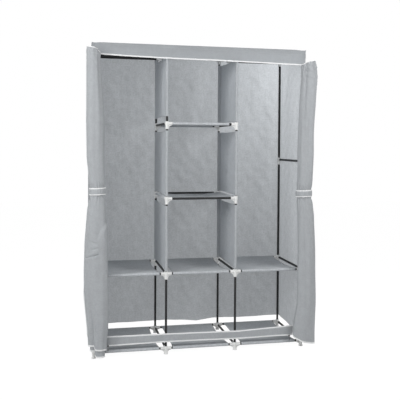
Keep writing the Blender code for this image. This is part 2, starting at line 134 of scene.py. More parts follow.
def panelMaps(u, v, width, height):
    # maps of a panel with stitches along all four edges
    return clothMaps(u, v, np.minimum(u, width - u), np.minimum(v, height - v))


def cornersOf(grid):
    # the four corners of each cell of a grid, in order round the cell
    return np.stack([grid[:-1, :-1], grid[1:, :-1], grid[1:, 1:], grid[:-1, 1:]], axis=2)


def gridShell(points, maps=None, wrapRows=False, wrapCols=False, ends=False, flip=False):
    # A surface from a grid of points. maps are UV grids, one row and column longer where the grid wraps.
    # ends closes the first and last row of a wrapped grid with one face each.
    rows, cols = points.shape[:2]
    index = np.arange(rows * cols).reshape(rows, cols)
    caps = [index[0][::-1].tolist(), index[-1].tolist()] if ends else []
    if wrapRows:
        index = np.vstack([index, index[:1]])
    if wrapCols:
        index = np.hstack([index, index[:, :1]])
    quads = cornersOf(index).reshape(-1, 4)
    corners = {name: cornersOf(grid).reshape(-1, 4, 2) for name, grid in (maps or {}).items()}
    if flip:
        quads = quads[:, ::-1]
        corners = {name: grid[:, ::-1] for name, grid in corners.items()}
    return {"points": points.reshape(-1, 3), "quads": quads, "caps": caps, "maps": corners}


def turnedShell(profile, start, direction, sides=24, closed=False):
    # a profile of (distance, radius) turned round an axis; closed joins its last ring to its first
    profile = np.array(profile, float)
    direction = np.asarray(direction, float)
    side = axisX if abs(direction[0]) < 0.5 else axisY
    up = np.cross(direction, side)
    angle = np.arange(sides) * tau / sides
    ring = np.cos(angle)[:, None] * side + np.sin(angle)[:, None] * up
    points = np.asarray(start) + profile[:, :1, None] * direction + profile[:, 1:, None] * ring[None]
    return gridShell(points, wrapRows=closed, wrapCols=True, ends=not closed)


def plateShell(outline, origin, acrossAxis, upAxis, depth, bevel, hole=None):
    # An outline of (across, up) points given a depth, with its edges drawn in by the bevel.
    # hole is a second outline with as many points, cut right through.
    acrossAxis, upAxis = np.asarray(acrossAxis, float), np.asarray(upAxis, float)
    out = np.cross(acrossAxis, upAxis)

    def ring(shape, inset, away):
        # the shape with each point drawn towards its middle by the inset, then moved along its normal
        shape = np.array(shape, float)
        middle = shape.mean(0)
        reach = np.linalg.norm(shape - middle, axis=1, keepdims=True)
        drawn = middle + (shape - middle) * (1 - inset / np.maximum(reach, 1e-9))
        return np.asarray(origin) + drawn[:, :1] * acrossAxis + drawn[:, 1:] * upAxis + out * away

    half = depth / 2
    steps = [(bevel, -half), (0, bevel - half), (0, half - bevel), (bevel, half)]
    rings = [ring(outline, inset, away) for inset, away in steps]
    if hole is not None:
        rings += [ring(hole, -inset, away) for inset, away in reversed(steps)]
    return gridShell(np.array(rings), wrapRows=hole is not None, wrapCols=True, ends=hole is None)


def stripShell(path, inward, outward, width, thick, closed=False):
    # A flat tape folded over an edge: a rounded strip outline carried along the edge's path.
    # inward points from the edge into the cloth, outward is the way the cloth faces.
    half = thick / 2
    outline = np.array([(-half, 0), (-half * 0.6, half * 0.8), (half, half), (width - half, half), (width, 0),
                        (width - half, -half), (half, -half), (-half * 0.6, -half * 0.8)])
    points = path[:, None] + outline[:, 0][None, :, None] * inward[:, None]
    points = points + outline[:, 1][None, :, None] * outward[:, None]
    tape = placeMap(runLength(path, closed), np.linspace(0, 2 * width, len(outline) + 1))
    return gridShell(points, {"cloth": tape, "hem": tape}, wrapRows=closed, wrapCols=True, ends=not closed)


def weltShell(path, radius, closed=False, mapped=True):
    # round seam, rib or wire: a small circle carried along a path
    count = 10
    path = np.asarray(path, float)
    ahead = np.roll(path, -1, axis=0) - np.roll(path, 1, axis=0) if closed else np.gradient(path, axis=0)
    ahead = unit(ahead)
    side = unit(np.cross(ahead, np.where(np.abs(ahead[:, 2:]) < 0.8, axisZ, axisX)))
    up = np.cross(side, ahead)
    angle = np.arange(count) * tau / count
    circle = np.cos(angle)[None, :, None] * side[:, None] + np.sin(angle)[None, :, None] * up[:, None]
    grid = placeMap(runLength(path, closed), np.linspace(0, 0.011, count + 1))
    maps = {"cloth": grid, "hem": grid + (0.02, 0)} if mapped else None
    return gridShell(path[:, None] + radius * circle, maps, wrapRows=closed, wrapCols=True, ends=not closed)


sharpAngle = math.radians(38)


def makePiece(name, shells, material, nodes=(), body="frame_and_cover", closed=True, thick=0):
    # one mesh object from one or more shells, riding on its body; the faces are all quads, then all end caps
    faces, caps, start = [], [], 0
    for shell in shells:
        faces += (shell["quads"] + start).tolist()
        caps += [[corner + start for corner in cap] for cap in shell["caps"]]
        start += len(shell["points"])
    mesh = bpy.data.meshes.new(name)
    mesh.from_pydata(np.concatenate([shell["points"] for shell in shells]).tolist(), [], faces + caps)
    for mapName in shells[0]["maps"]:
        grid = np.concatenate([shell["maps"][mapName].reshape(-1, 2) for shell in shells])
        values = np.zeros((len(mesh.loops), 2))
        values[:len(grid)] = grid
        mesh.uv_layers.new(name=mapName).data.foreach_set("uv", values.ravel())
    if closed:
        work = bmesh.new()
        work.from_mesh(mesh)
        bmesh.ops.recalc_face_normals(work, faces=work.faces)
        work.to_mesh(mesh)
        work.free()
    mesh.materials.append(material)
    mesh.shade_smooth()
    mesh.set_sharp_from_angle(angle=sharpAngle)
    piece = bpy.data.objects.new(name, mesh)
    bpy.context.scene.collection.objects.link(piece)
    if thick:
        wall = piece.modifiers.new("clothThickness", "SOLIDIFY")
        wall.thickness = thick
        wall.offset = 0
    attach(piece, body)
    if nodes:
        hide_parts(*nodes)
    return piece


def makeSheet(name, points, maps, material, node, flip=False, **settings):
    # a cloth panel of one layer, in place of its CAD node
    return makePiece(name, [gridShell(points, maps, flip=flip)], material, [node], closed=False, **settings)


# finishes
def feed(tree, node, values):
    # links or sets each input that is named
    for key, value in values.items():
        if isinstance(value, bpy.types.NodeSocket):
            tree.links.new(value, node.inputs[key])
        else:
            node.inputs[key].default_value = value


def addNode(tree, kind, inputs, **settings):
    # a node one column to the right of what feeds it, below the nodes that are in that column already
    node = tree.nodes.new("ShaderNode" + kind)
    for key, value in settings.items():
        setattr(node, key, value)
    feed(tree, node, inputs)
    column = max([link.from_node.location.x + 190 for link in tree.links if link.to_node == node], default=0)
    taken = sum(other.location.x == column for other in tree.nodes if other != node)
    node.location = (column, -170 * taken)
    return node


# each of the next seven adds one node and gives its output
def calculate(tree, operation, *values):
    return addNode(tree, "Math", dict(enumerate(values)), operation=operation).outputs[0]


def remap(tree, value, fromLow, fromHigh, toLow=0.0, toHigh=1.0):
    ranges = {"From Min": fromLow, "From Max": fromHigh, "To Min": toLow, "To Max": toHigh}
    return addNode(tree, "MapRange", {"Value": value, **ranges}).outputs[0]


def noise(tree, place, scale, detail, roughness=0.5, distortion=0.0):
    values = {"Vector": place, "Scale": scale, "Detail": detail, "Roughness": roughness,
              "Distortion": distortion}
    return addNode(tree, "TexNoise", values).outputs[0]


def turned(tree, place, scale, angle):
    # the place scaled along two directions and turned by the angle
    values = {"Vector": place, "Scale": (*scale, 1), "Rotation": (0, 0, angle)}
    return addNode(tree, "Mapping", values).outputs[0]


def mixValues(tree, share, first, second):
    return addNode(tree, "Mix", {0: share, 2: first, 3: second}, data_type="FLOAT").outputs[0]


def mixColours(tree, share, first, second):
    return addNode(tree, "Mix", {0: share, 6: first, 7: second}, data_type="RGBA").outputs[2]


def addBump(tree, height, strength, distance):
    return addNode(tree, "Bump", {"Height": height, "Strength": strength, "Distance": distance}).outputs[0]


def splitParts(tree, place):
    # the three parts of a vector, one output each
    return addNode(tree, "SeparateXYZ", {0: place}).outputs


def newGroup(name, inputs, outputs):
    # inputs are {name: start value}, None for a vector, and outputs are {name: kind}
    group = bpy.data.node_groups.new(name, "ShaderNodeTree")
    for label, value in inputs.items():
        kind = "Vector" if value is None else "Color" if isinstance(value, tuple) else "Float"
        socket = group.interface.new_socket(name=label, in_out="INPUT", socket_type="NodeSocket" + kind)
        if value is not None:
            socket.default_value = value
    for label, kind in outputs.items():
        group.interface.new_socket(name=label, in_out="OUTPUT", socket_type="NodeSocket" + kind)
    entry, leave = group.nodes.new("NodeGroupInput"), group.nodes.new("NodeGroupOutput")
    entry.location, leave.location = (-190, 0), (2200, 0)
    return group, entry.outputs, leave


def makeFeltGroup():
    # pressed fibre cloth: cloudy patches, crossing fibres and small pressed dots
    group, given, leave = newGroup("pressedFibreCloth", {
        "Place": None, "Dark": (0.30, 0.32, 0.33, 1), "Light": (0.42, 0.44, 0.46, 1),
        "Cloud Size": 26.0, "Fibre Strength": 0.35, "Dot Pitch": 0.0021,
    }, {"Color": "Color", "Height": "Float"})
    place = given["Place"]
    cloud = noise(group, place, given["Cloud Size"], 4.0, roughness=0.62)
    streak = noise(group, turned(group, place, (75, 24), 0.12), 1.0, 3.0, distortion=0.4)
    large = mixValues(group, 0.4, cloud, streak)
    patches = mixValues(group, 0.46, large, noise(group, place, 118.0, 3.0))
    fibreA = noise(group, turned(group, place, (950, 120), 0.35), 1.0, 2.0, distortion=0.6)
    fibreB = noise(group, turned(group, place, (130, 900), 0.2), 1.0, 2.0, distortion=0.6)
    fibre = calculate(group, "MAXIMUM", fibreA, fibreB)
    # dots: product of two sines of the place over the pitch
    turns = calculate(group, "DIVIDE", tau, given["Dot Pitch"])
    scaled = addNode(group, "VectorMath", {0: place, "Scale": turns}, operation="SCALE").outputs[0]
    waves = [calculate(group, "SINE", part) for part in splitParts(group, scaled)[:2]]
    dots = remap(group, calculate(group, "MULTIPLY", *waves), 0.35, 0.8)
    # tone: clouds, with a share of fibre and darker dots
    tone = mixValues(group, given["Fibre Strength"], remap(group, patches, 0.41, 0.59), fibre)
    darker = calculate(group, "MULTIPLY_ADD", dots, -0.12, tone)
    feed(group, leave, {"Color": mixColours(group, darker, given["Dark"], given["Light"]),
                        "Height": calculate(group, "MULTIPLY_ADD", dots, -0.5, fibre)})
    return group


def makeStitchGroup():
    # a row of thread dashes at a set distance from the edge; Hem is (distance to the edge, place along it)
    group, given, leave = newGroup("stitchLine", {"Hem": None, "Inset": 0.007, "Pitch": 0.0036},
                                   {"Mask": "Float", "Pucker": "Float"})
    parts = splitParts(group, given["Hem"])
    away = calculate(group, "ABSOLUTE", calculate(group, "SUBTRACT", parts[0], given["Inset"]))
    line = remap(group, away, 0.0004, 0.0007, 1.0, 0.0)
    dash = calculate(group, "FRACT", calculate(group, "DIVIDE", parts[1], given["Pitch"]))
    thread = calculate(group, "LESS_THAN", dash, 0.66)
    feed(group, leave, {"Mask": calculate(group, "MULTIPLY", line, thread),
                        "Pucker": remap(group, away, 0.0, 0.003, -1.0, 0.0)})
    return group


def makeWearGroup():
    # handling marks: large faint smears and small specks, for tubes, plastic and metal
    group, given, leave = newGroup("handlingMarks", {
        "Place": None, "Base": (0.5, 0.5, 0.5, 1), "Mark": (0.6, 0.6, 0.6, 1),
        "Rough Low": 0.35, "Rough High": 0.55, "Grain Size": 1800.0,
    }, {"Color": "Color", "Roughness": "Float", "Height": "Float"})
    smear = noise(group, given["Place"], 45.0, 5.0, roughness=0.6)
    speck = noise(group, given["Place"], 620.0, 2.0)
    grain = noise(group, given["Place"], given["Grain Size"], 2.0)
    specks, smears = remap(group, speck, 0.66, 0.74), remap(group, smear, 0.45, 0.8, 0.0, 0.5)
    both = calculate(group, "MAXIMUM", specks, smears)
    rough = remap(group, smear, 0.3, 0.7, given["Rough Low"], given["Rough High"])
    feed(group, leave, {"Color": mixColours(group, both, given["Base"], given["Mark"]),
                        "Roughness": rough, "Height": grain})
    return group


feltGroup, stitchGroup, wearGroup = makeFeltGroup(), makeStitchGroup(), makeWearGroup()


def newMaterial(name):
    # a material with its tree, its shader and its output node
    material = bpy.data.materials.new(name)
    material.use_nodes = True
    tree = material.node_tree
    shader, surface = tree.nodes["Principled BSDF"], tree.nodes["Material Output"]
    shader.location, surface.location = (1500, 0), (2000, 0)
    return material, tree, shader, surface


def makeCloth(name, dark, light, letThrough=0.0, letColour=(0.5, 0.53, 0.55, 1)):
    # felt-like cloth on its own map, with a stitched hem; letThrough is the share of light that passes
    material, tree, shader, surface = newMaterial(name)
    cloth, hem = [addNode(tree, "UVMap", {}, uv_map=mapName).outputs[0] for mapName in ("cloth", "hem")]
    felt = addNode(tree, "Group", {"Place": cloth, "Dark": dark, "Light": light}, node_tree=feltGroup).outputs
    stitches = addNode(tree, "Group", {"Hem": hem}, node_tree=stitchGroup).outputs
    height = calculate(tree, "MULTIPLY_ADD", stitches["Pucker"], 2.0, felt["Height"])
    bump = addBump(tree, calculate(tree, "MULTIPLY_ADD", stitches["Mask"], 1.2, height), 0.55, 0.0004)
    colour = mixColours(tree, stitches["Mask"], felt["Color"], (0.55, 0.57, 0.58, 1))
    feed(tree, shader, {"Base Color": colour, "Normal": bump, "Roughness": 0.88, "Specular IOR Level": 0.2,
                        "Sheen Weight": 0.12, "Sheen Roughness": 0.5})
    if letThrough:
        through = addNode(tree, "BsdfTranslucent", {"Color": letColour, "Normal": bump}).outputs[0]
        both = addNode(tree, "MixShader", {0: letThrough, 1: shader.outputs[0], 2: through})
        feed(tree, surface, {"Surface": both.outputs[0]})
    return material


def makeTape(name, base, shade):
    # narrow woven tape: ribs across its run, with one row of stitches
    material, tree, shader, surface = newMaterial(name)
    cloth = addNode(tree, "UVMap", {}, uv_map="cloth").outputs[0]
    parts = splitParts(tree, cloth)
    ribPitch = (0.0009, 0.0011)
    turns = [calculate(tree, "MULTIPLY", part, tau / pitch) for part, pitch in zip(parts, ribPitch)]
    weave = calculate(tree, "MULTIPLY", *[calculate(tree, "SINE", turn) for turn in turns])
    dust = noise(tree, cloth, 60.0, 4.0)
    grime = calculate(tree, "MULTIPLY_ADD", dust, 0.6, remap(tree, weave, -1.0, 1.0, 0.0, 0.5))
    swapped = addNode(tree, "CombineXYZ", {0: parts[1], 1: parts[0]}).outputs[0]
    stitches = addNode(tree, "Group", {"Hem": swapped, "Inset": 0.0056}, node_tree=stitchGroup).outputs
    bump = addBump(tree, calculate(tree, "MULTIPLY_ADD", stitches["Mask"], 2.0, weave), 0.6, 0.0003)
    feed(tree, shader, {"Base Color": mixColours(tree, grime, base, shade), "Normal": bump, "Roughness": 0.7,
                        "Specular IOR Level": 0.3, "Sheen Weight": 0.15})
    return material


def makeHard(name, base, mark, rough, grainSize, bumpDepth, metallic=0.0, specular=0.5):
    # paint, plastic or metal: even colour, handling marks and a fine surface grain
    material, tree, shader, surface = newMaterial(name)
    place = addNode(tree, "TexCoord", {}).outputs["Object"]
    values = {"Place": place, "Base": base, "Mark": mark, "Rough Low": rough[0], "Rough High": rough[1],
              "Grain Size": grainSize}
    marks = addNode(tree, "Group", values, node_tree=wearGroup).outputs
    bump = addBump(tree, marks["Height"], 0.5, bumpDepth)
    feed(tree, shader, {"Base Color": marks["Color"], "Roughness": marks["Roughness"], "Metallic": metallic,
                        "Normal": bump, "Specular IOR Level": specular})
    return material


clothLooks = {
    # dark and light colour, and where light comes through: its share and colour
    "coverCloth": ((0.352, 0.368, 0.384, 1), (0.418, 0.436, 0.453, 1), 0.34, (0.66, 0.685, 0.71, 1)),
    # the walls' cloth is the cover's cloth made darker: painted shade, for the shaded inside of the walls
    "wallClothPaintedShade": ((0.215, 0.226, 0.236, 1), (0.445, 0.464, 0.482, 1), 0.32, (0.64, 0.665, 0.69, 1)),
    # the dividers' cloth is the cover's cloth made lighter: painted light on the divider faces
    "dividerClothPaintedLight": ((0.46, 0.479, 0.498, 1), (0.60, 0.623, 0.647, 1), 0.36, (0.68, 0.705, 0.73, 1)),
    "doorCloth": ((0.317, 0.331, 0.346, 1), (0.372, 0.389, 0.405, 1)),
    # the shelves' cloth is the cover's cloth made lighter: painted light on the shelf tops
    "shelfClothPaintedLight": ((0.36, 0.378, 0.396, 1), (0.50, 0.523, 0.546, 1)),
}
hardLooks = {
    # base and mark colour, range of roughness, size of the grain, depth of the bump, metallic, specular
    "blackTube": ((0.012, 0.0125, 0.013, 1), (0.03, 0.031, 0.033, 1), (0.42, 0.6), 2600.0, 0.00006, 0.0, 0.3),
    "offWhitePlastic": ((0.70, 0.705, 0.70, 1), (0.62, 0.625, 0.61, 1), (0.38, 0.5), 3200.0, 0.00005),
    "zipMetal": ((0.16, 0.165, 0.17, 1), (0.28, 0.285, 0.29, 1), (0.28, 0.42), 3000.0, 0.00003, 0.9),
    "zipCoil": ((0.78, 0.79, 0.79, 1), (0.62, 0.63, 0.63, 1), (0.35, 0.45), 3600.0, 0.00003),
}
coverCloth, wallClothPaintedShade, dividerClothPaintedLight, doorCloth, shelfClothPaintedLight = [
    makeCloth(name, *look) for name, look in clothLooks.items()]
whiteTape = makeTape("whiteTape", (0.86, 0.866, 0.868, 1), (0.70, 0.71, 0.716, 1))
blackTube, offWhitePlastic, zipMetal, zipCoil = [makeHard(name, *look) for name, look in hardLooks.items()]
print("finishes: done")

# steel tubes
tube = {"radius": 0.0065, "wall": 0.0010, "bevel": 0.0004, "sides": 28, "socketInset": 0.0115,
        "footOfUpright": 0.002, "headOfUpright": 0.0125}
sideLevel = 2.5
outerLevels, innerLevels = (0, 1, sideLevel, 4), (0, 1, 2, 3, 4)
ladderNode = {post: f"{post[:-5]}_{post[-5:].lower()}_ladder" for post in postX}
railLevels = {"bottom": 0, "lower_shelf": 1, "mid_shelf": 2, "upper_shelf": 3, "top": 4}
crossLength = layout["columnPitch"] - 2 * tube["socketInset"]
sideLength = frameDepth - 2 * tube["socketInset"]
tubes, joints = [], []


def levelsOf(post):
    # an inner post has a joint at each tier, an outer post only one between the lower shelf and the top
    return outerLevels if "Outer" in post else innerLevels


def addTube(name, start, direction, length, node):
    # a ring section (outer wall, bevelled ends, bore) turned round the tube's axis
    outer, inner, bevel = tube["radius"], tube["radius"] - tube["wall"], tube["bevel"]
    edge, end = outer - bevel, length - bevel
    profile = [(0, inner), (0, edge), (bevel, outer), (end, outer), (length, edge), (length, inner)]
    shell = turnedShell(profile, start, direction, tube["sides"], closed=True)
    tubes.append(makePiece(name, [shell], blackTube, [node]))


for post, x in postX.items():
    levels = levelsOf(post)
    for row, y in rowY.items():
        for number, (low, high) in enumerate(zip(levels, levels[1:]), 1):
            start = levelZ(low) + tube["footOfUpright"]
            length = levelZ(high) - tube["headOfUpright"] - start
            addTube(f"upright.{post}{row}{number}", (x, y, start), axisZ, length, ladderNode[post])
    for level in levels:
        start = (x, layout["frontY"] + tube["socketInset"], levelZ(level))
        addTube(f"sideTube.{post}.level{level}", start, axisY, sideLength, ladderNode[post])
for row, y in rowY.items():
    for railName, level in railLevels.items():
        for column, left in columnLeftX.items():
            if level not in (2, 3) or column == "middle":
                start = (left + tube["socketInset"], y, levelZ(level))
                node = f"{row.lower()}_{railName}_rail_{column}"
                addTube(f"crossTube.{column}{row}.level{level}", start, axisX, crossLength, node)
for column in sides:
    start = (columnLeftX[column] + tube["socketInset"], layout["rodY"], layout["rodZ"])
    addTube(f"{column}HangingRod", start, axisX, crossLength, f"{column}_hanging_rod")
print("tubes:", len(tubes))

# plastic joints
joint = {
    "armLength": 0.0310, "downLength": 0.0320, "armRadius": 0.0086, "armRoot": 0.0020, "hubRadius": 0.0106,
    "hubHalf": 0.0110, "collar": 0.0093, "collarLength": 0.0045, "collarRound": 0.0006, "bore": 0.0068,
    "boreDepth": 0.0190, "boreRound": 0.0004, "footRadius": 0.0122, "footHeight": 0.0055, "webThick": 0.0026,
    "webBevel": 0.0005, "webReach": 0.0262, "webDrop": 0.0275, "webRoot": 0.0040, "hollow": (0.0160, 0.0165),
}
clip = {
    "ringHalf": 0.0120, "ringRadius": 0.0100, "ringRound": 0.0006, "neckThick": 0.0060, "neckBevel": 0.0006,
    "neckTop": 0.0070, "neckFoot": 0.0085, "socketRoot": -0.0070,
}


def armProfile(length, root):
    # from inside the hub out to a collar with a rounded lip, then back down the bore
    radius, collar, bore = joint["armRadius"], joint["collar"], joint["bore"]
    lip, edge, mouth = length - joint["collarLength"], joint["collarRound"], joint["boreRound"]
    return [(root, radius), (lip - 0.0008, radius - 0.0002), (lip, collar), (length - edge, collar),
            (length, collar - edge), (length, bore + mouth), (length - mouth, bore),
            (length - joint["boreDepth"], bore)]


def webShell(origin, outwardAxis):
    # triangular web under an arm: a straight run along the arm, then a hollow curve down to the lower arm
    reach, drop, root, (wide, tall) = [joint[key] for key in ("webReach", "webDrop", "webRoot", "hollow")]
    bend = np.linspace(0, math.pi / 2, 9)
    hollow = np.stack([reach - wide * np.sin(bend), -drop + tall * np.cos(bend)], axis=1)
    outline = np.vstack([[(root, -root), (reach, -0.0060)], hollow, [(root, -0.0280)]])
    return plateShell(outline, origin, outwardAxis, axisZ, joint["webThick"], joint["webBevel"])


def jointShells(place, outwardAxes, top, foot):
    # hub with a socket above, an arm below or a foot, and the side arms with their webs
    hub, half, bore, arm = joint["hubRadius"], joint["hubHalf"], joint["bore"], joint["armRadius"]
    if top:
        upper = [(half - 0.0002, 0.0030), (half + 0.0002, hub - 0.0030), (half - 0.0008, hub - 0.0008)]
    else:
        upper = [(0.0010, bore), (half + 0.0006, bore), (half + 0.0010, bore + joint["boreRound"]),
                 (half + 0.0010, hub - 0.0012), (half + 0.0002, hub - 0.0002)]
    body = upper + [(half - 0.0020, hub), (0.0004 - half, hub), (-half - 0.0006, arm)]
    if foot:
        ground, flare = -place[2], joint["footRadius"]
        shoulder = ground + joint["footHeight"]
        body += [(shoulder + 0.0040, arm), (shoulder, flare - 0.0012), (shoulder - 0.0012, flare),
                 (ground + 0.0008, flare), (ground, flare - 0.0008), (ground, 0.0040),
                 (ground + 0.0012, 0.0034)]
    else:
        body += [(-distance, radius) for distance, radius in armProfile(joint["downLength"], half + 0.0014)]
    shells = [turnedShell(body, place, axisZ)]
    sideArm = armProfile(joint["armLength"], joint["armRoot"])
    for way in outwardAxes:
        shells += [turnedShell(sideArm, place, way), webShell(place, way)]
    return shells


def clipShells(x, inwardX):
    # hanging-rod clip: a ring on the top side tube, a flat neck with a web, and a socket for the rod
    half, radius, edge, bore = clip["ringHalf"], clip["ringRadius"], clip["ringRound"], joint["bore"]
    halfRing = [(half, bore), (half, radius - edge), (half - edge, radius)]
    ring = [(-distance, size) for distance, size in halfRing] + halfRing[::-1]
    socket = [(-0.0090, 0.0060), (-0.0082, 0.0092)] + armProfile(joint["armLength"], clip["socketRoot"])[1:]
    drop = layout["topZ"] - layout["rodZ"]
    neckTop, neckFoot = clip["neckTop"], clip["neckFoot"]
    neck = [(-neckTop, -0.0060), (neckTop, -0.0060), (neckFoot, 0.0040 - drop), (-neckFoot, 0.0040 - drop)]
    onTube, onRod = [(x, layout["rodY"], layout[height]) for height in ("topZ", "rodZ")]
    return [turnedShell(ring, onTube, axisY, closed=True), turnedShell(socket, onRod, axisX * inwardX),
            plateShell(neck, onTube, axisY, axisZ, clip["neckThick"], clip["neckBevel"])]


for post, x in postX.items():
    inward = axisX if post.startswith("left") else -axisX
    for level in levelsOf(post):
        sideWays = [] if level == sideLevel else [inward]
        if "Inner" in post and level in (0, 1, 4):
            sideWays.append(-inward)
        for row, y in rowY.items():
            depthWay = axisY if row == "Front" else -axisY
            place = np.array((x, y, levelZ(level)))
            shells = jointShells(place, sideWays + [depthWay], top=level == 4, foot=level == 0)
            name = f"joint.{post}{row}.level{level}"
            joints.append(makePiece(name, shells, offWhitePlastic, [ladderNode[post]]))
for post, inwardX in zip(postX, (1, -1, 1, -1)):
    makePiece(f"rodClip.{post}", clipShells(postX[post], inwardX), offWhitePlastic, [ladderNode[post]])
print("joints:", len(joints), "and 4 rod clips")

# slings: shelves and dividers
shelf = {
    "cloth": shelfClothPaintedLight, "endGap": 0.0385, "upperShift": 0.006, "sag": 0.0140, "openEdgeSag": 0.7,
    "waist": 0.0060, "wrinkle": 0.0009, "rows": 40,
}
divider = {
    "cloth": dividerClothPaintedLight, "sag": 0.0070, "openEdgeSag": 0.6, "waist": 0.0040, "wrinkle": 0.0014, "rows": 60,
    # gap below, gap above, dip and flare of the top; the upper left one goes up over the top joints
    "fits": {"lower": (0.0140, 0.0400, 0, 0), "middle": (0.0140, 0.0400, 0, 0),
             "upper": (0.0140, 0.0400, 0.0065, 0), "upperLeft": (0.0400, 0.0125, 0.0350, 0.0026)},
}
sleeve = {
    "radius": tube["radius"] + 0.0011, "bendDegrees": (-62, -270), "bendPoints": 15, "seam": 0.0240,
    "seamHalf": 0.0006, "tailHalf": 0.004, "tailShare": (0.93, 0.80, 0.45), "tailGap": 0.0009,
    "flareFrom": 0.034, "flareTo": 0.024, "flatFrom": 0.04, "flatPoints": 13, "rippleLength": 0.16,
    "thick": 0.0009, "stitchInset": 0.007,
}


def makeSling(name, node, style, start, axes, size, seed, topDip=0, topFlare=0):
    # One strip of cloth: from a seam round the first tube, over to the second, round it and back to a seam.
    # Across the tubes it is line, arc, parabola, arc, line; along them it draws in at mid span.
    # topDip lowers the far end at mid span, topFlare widens the sleeve there to go over a joint's arm.
    (along, across, face), (length, span) = axes, size
    seam, half = sleeve["seam"], sleeve["seamHalf"]
    share = np.linspace(0, 1, style["rows"] + 1)[:, None]
    bend = np.radians(np.linspace(*sleeve["bendDegrees"], sleeve["bendPoints"]))
    flat = [[seam * 0.5, seam - half, seam, seam + half],
            np.linspace(sleeve["flatFrom"], 0.5 * span, sleeve["flatPoints"])]
    flat = np.concatenate(flat)
    flat = np.concatenate([flat, span - flat[-2::-1]])
    tail = np.array([seam + sleeve["tailHalf"], seam - sleeve["tailHalf"], seam * 0.55])
    wrap = len(tail) + len(bend)
    flare = topFlare * smoothStep(length - sleeve["flareFrom"], length - sleeve["flareTo"], length * share)
    radius, rowOnes = sleeve["radius"] + flare, np.ones_like(share)
    arcAcross, arcHeight = radius * np.cos(bend), radius * np.sin(bend)
    depth = style["sag"] * (style["openEdgeSag"] + (1 - style["openEdgeSag"]) * np.sin(math.pi * share))
    reach = np.hstack([rowOnes * tail, arcAcross, rowOnes * flat, span - arcAcross[:, ::-1],
                       rowOnes * (span - tail[::-1])])
    bulge = 4 * (reach / span) * (1 - reach / span)
    sheetHeight = radius - depth * bulge
    tailShare = np.array(sleeve["tailShare"])
    tailHeight = sheetHeight[:, :len(tail)] * tailShare - radius * (1 - tailShare) - sleeve["tailGap"]
    height = np.hstack([tailHeight, arcHeight, sheetHeight[:, wrap:-wrap], arcHeight[:, ::-1],
                        tailHeight[:, ::-1]])
    onSheet = np.zeros(reach.shape[1])
    onSheet[wrap:-wrap] = 1
    wrinkles = style["wrinkle"] * ripples(share * length, reach, seed, sleeve["rippleLength"])
    lift = wrinkles * bulge * onSheet
    pull = (0.5 - share) * 2 * style["waist"] * np.clip(bulge, 0, 1) * onSheet
    place = length * share + pull - topDip * smoothStep(0.6, 1, share) * np.clip(bulge, 0, 1)
    points = np.asarray(start) + place[..., None] * along + reach[..., None] * across
    points = points + (height + lift)[..., None] * face
    ran = runLength(points[len(share) // 2])
    u, v = np.broadcast_to(share * length, place.shape), np.broadcast_to(ran[None], place.shape)
    # the seam is the third point of the sheet from either tube
    toSeam = np.minimum(np.abs(v - ran[wrap + 2]), np.abs(v - ran[-wrap - 3])) + sleeve["stitchInset"]
    maps = clothMaps(u, v, np.minimum(u, length - u), toSeam)
    piece = makeSheet(name, points, maps, style["cloth"], node, thick=sleeve["thick"])


upward = (axisX, axisY, axisZ)
shelfSize = (layout["columnPitch"] - 2 * shelf["endGap"], frameDepth)
shelfList = [(f"{name}Shelf.{column}", f"{name}_shelf_{column}", level, column)
             for level, name in enumerate(("bottom", "lower")) for column in columnLeftX]
shelfList.append(("upperShelf", "upper_shelf", 3, "middle"))
for seed, (name, node, level, column) in enumerate(shelfList, 40):
    shift = shelf["upperShift"] if level == 3 else 0
    start = (columnLeftX[column] + shelf["endGap"] - shift, layout["frontY"], levelZ(level))
    makeSling(name, node, shelf, start, upward, shelfSize, seed)
start = (postX["leftInner"], layout["frontY"] + shelf["endGap"], levelZ(2))
midSize = (frameDepth - 2 * shelf["endGap"], layout["columnPitch"])
makeSling("midShelf", "mid_shelf", {**shelf, "openEdgeSag": 1.0}, start, (axisY, axisX, axisZ), midSize,
          52)
for word, side in sides.items():
    post = f"{word}Inner"
    for level, tier in enumerate(("lower", "middle", "upper"), 1):
        fit = "upperLeft" if (word, tier) == ("left", "upper") else tier
        below, above, dip, flare = divider["fits"][fit]
        start = (postX[post], layout["frontY"], levelZ(level) + below)
        size = (layout["tierPitch"] - below - above, frameDepth)
        makeSling(f"divider.{word}.{tier}", f"{word}_divider_{tier}", divider, start,
                  (axisZ, axisY, axisX * side), size, 59 + level + 5 * (word == "left"), dip, flare)
print("slings: 8 shelves and 6 dividers")

# cover
cover = {
    "halfWidth": 0.6200, "backY": 0.2587, "frontY": -0.1913, "roofZ": 1.7446, "hemRadius": 0.0009,
    "weltRadius": 0.0017, "backFold": 0.0060, "sideFold": 0.0050, "foldLimit": 0.0048, "toBackPower": 1.6,
    "roofSag": 0.0034, "roofRipple": 0.0007, "backRest": 0.0012, "edgePull": 0.0024, "leftDropShare": 0.7,
    # where the corners are cut off, where the front edge drops, and where the side edges slope
    "cornerY": -0.1813, "cornerZ": (1.658, 1.690), "edgePullZ": (1.660, 1.690), "dropY": -0.1870,
    "leftDropX": (-0.560, -0.612), "rightDropX": (0.545, 0.612), "slopeX": 0.6105,
    "slopeFrontY": (-0.165, -0.143), "slopeBackY": (0.233, 0.211),
    "backHemX": [-0.62, -0.504, -0.36, -0.24, -0.12, -0.016, 0.069,
                 0.115, 0.168, 0.26, 0.348, 0.48, 0.60, 0.62],
    "backHemZ": [0.0725, 0.0715, 0.0735, 0.075, 0.076, 0.070, 0.0615,
                 0.068, 0.075, 0.073, 0.071, 0.072, 0.073, 0.073],
    "wallFrontY": -0.1890, "wallHemRise": 0.040, "wallHemDrop": 0.035, "wallTapeTopZ": 1.700,
    # each tape is (width, thickness)
    "wallTape": (0.0080, 0.0020),
}


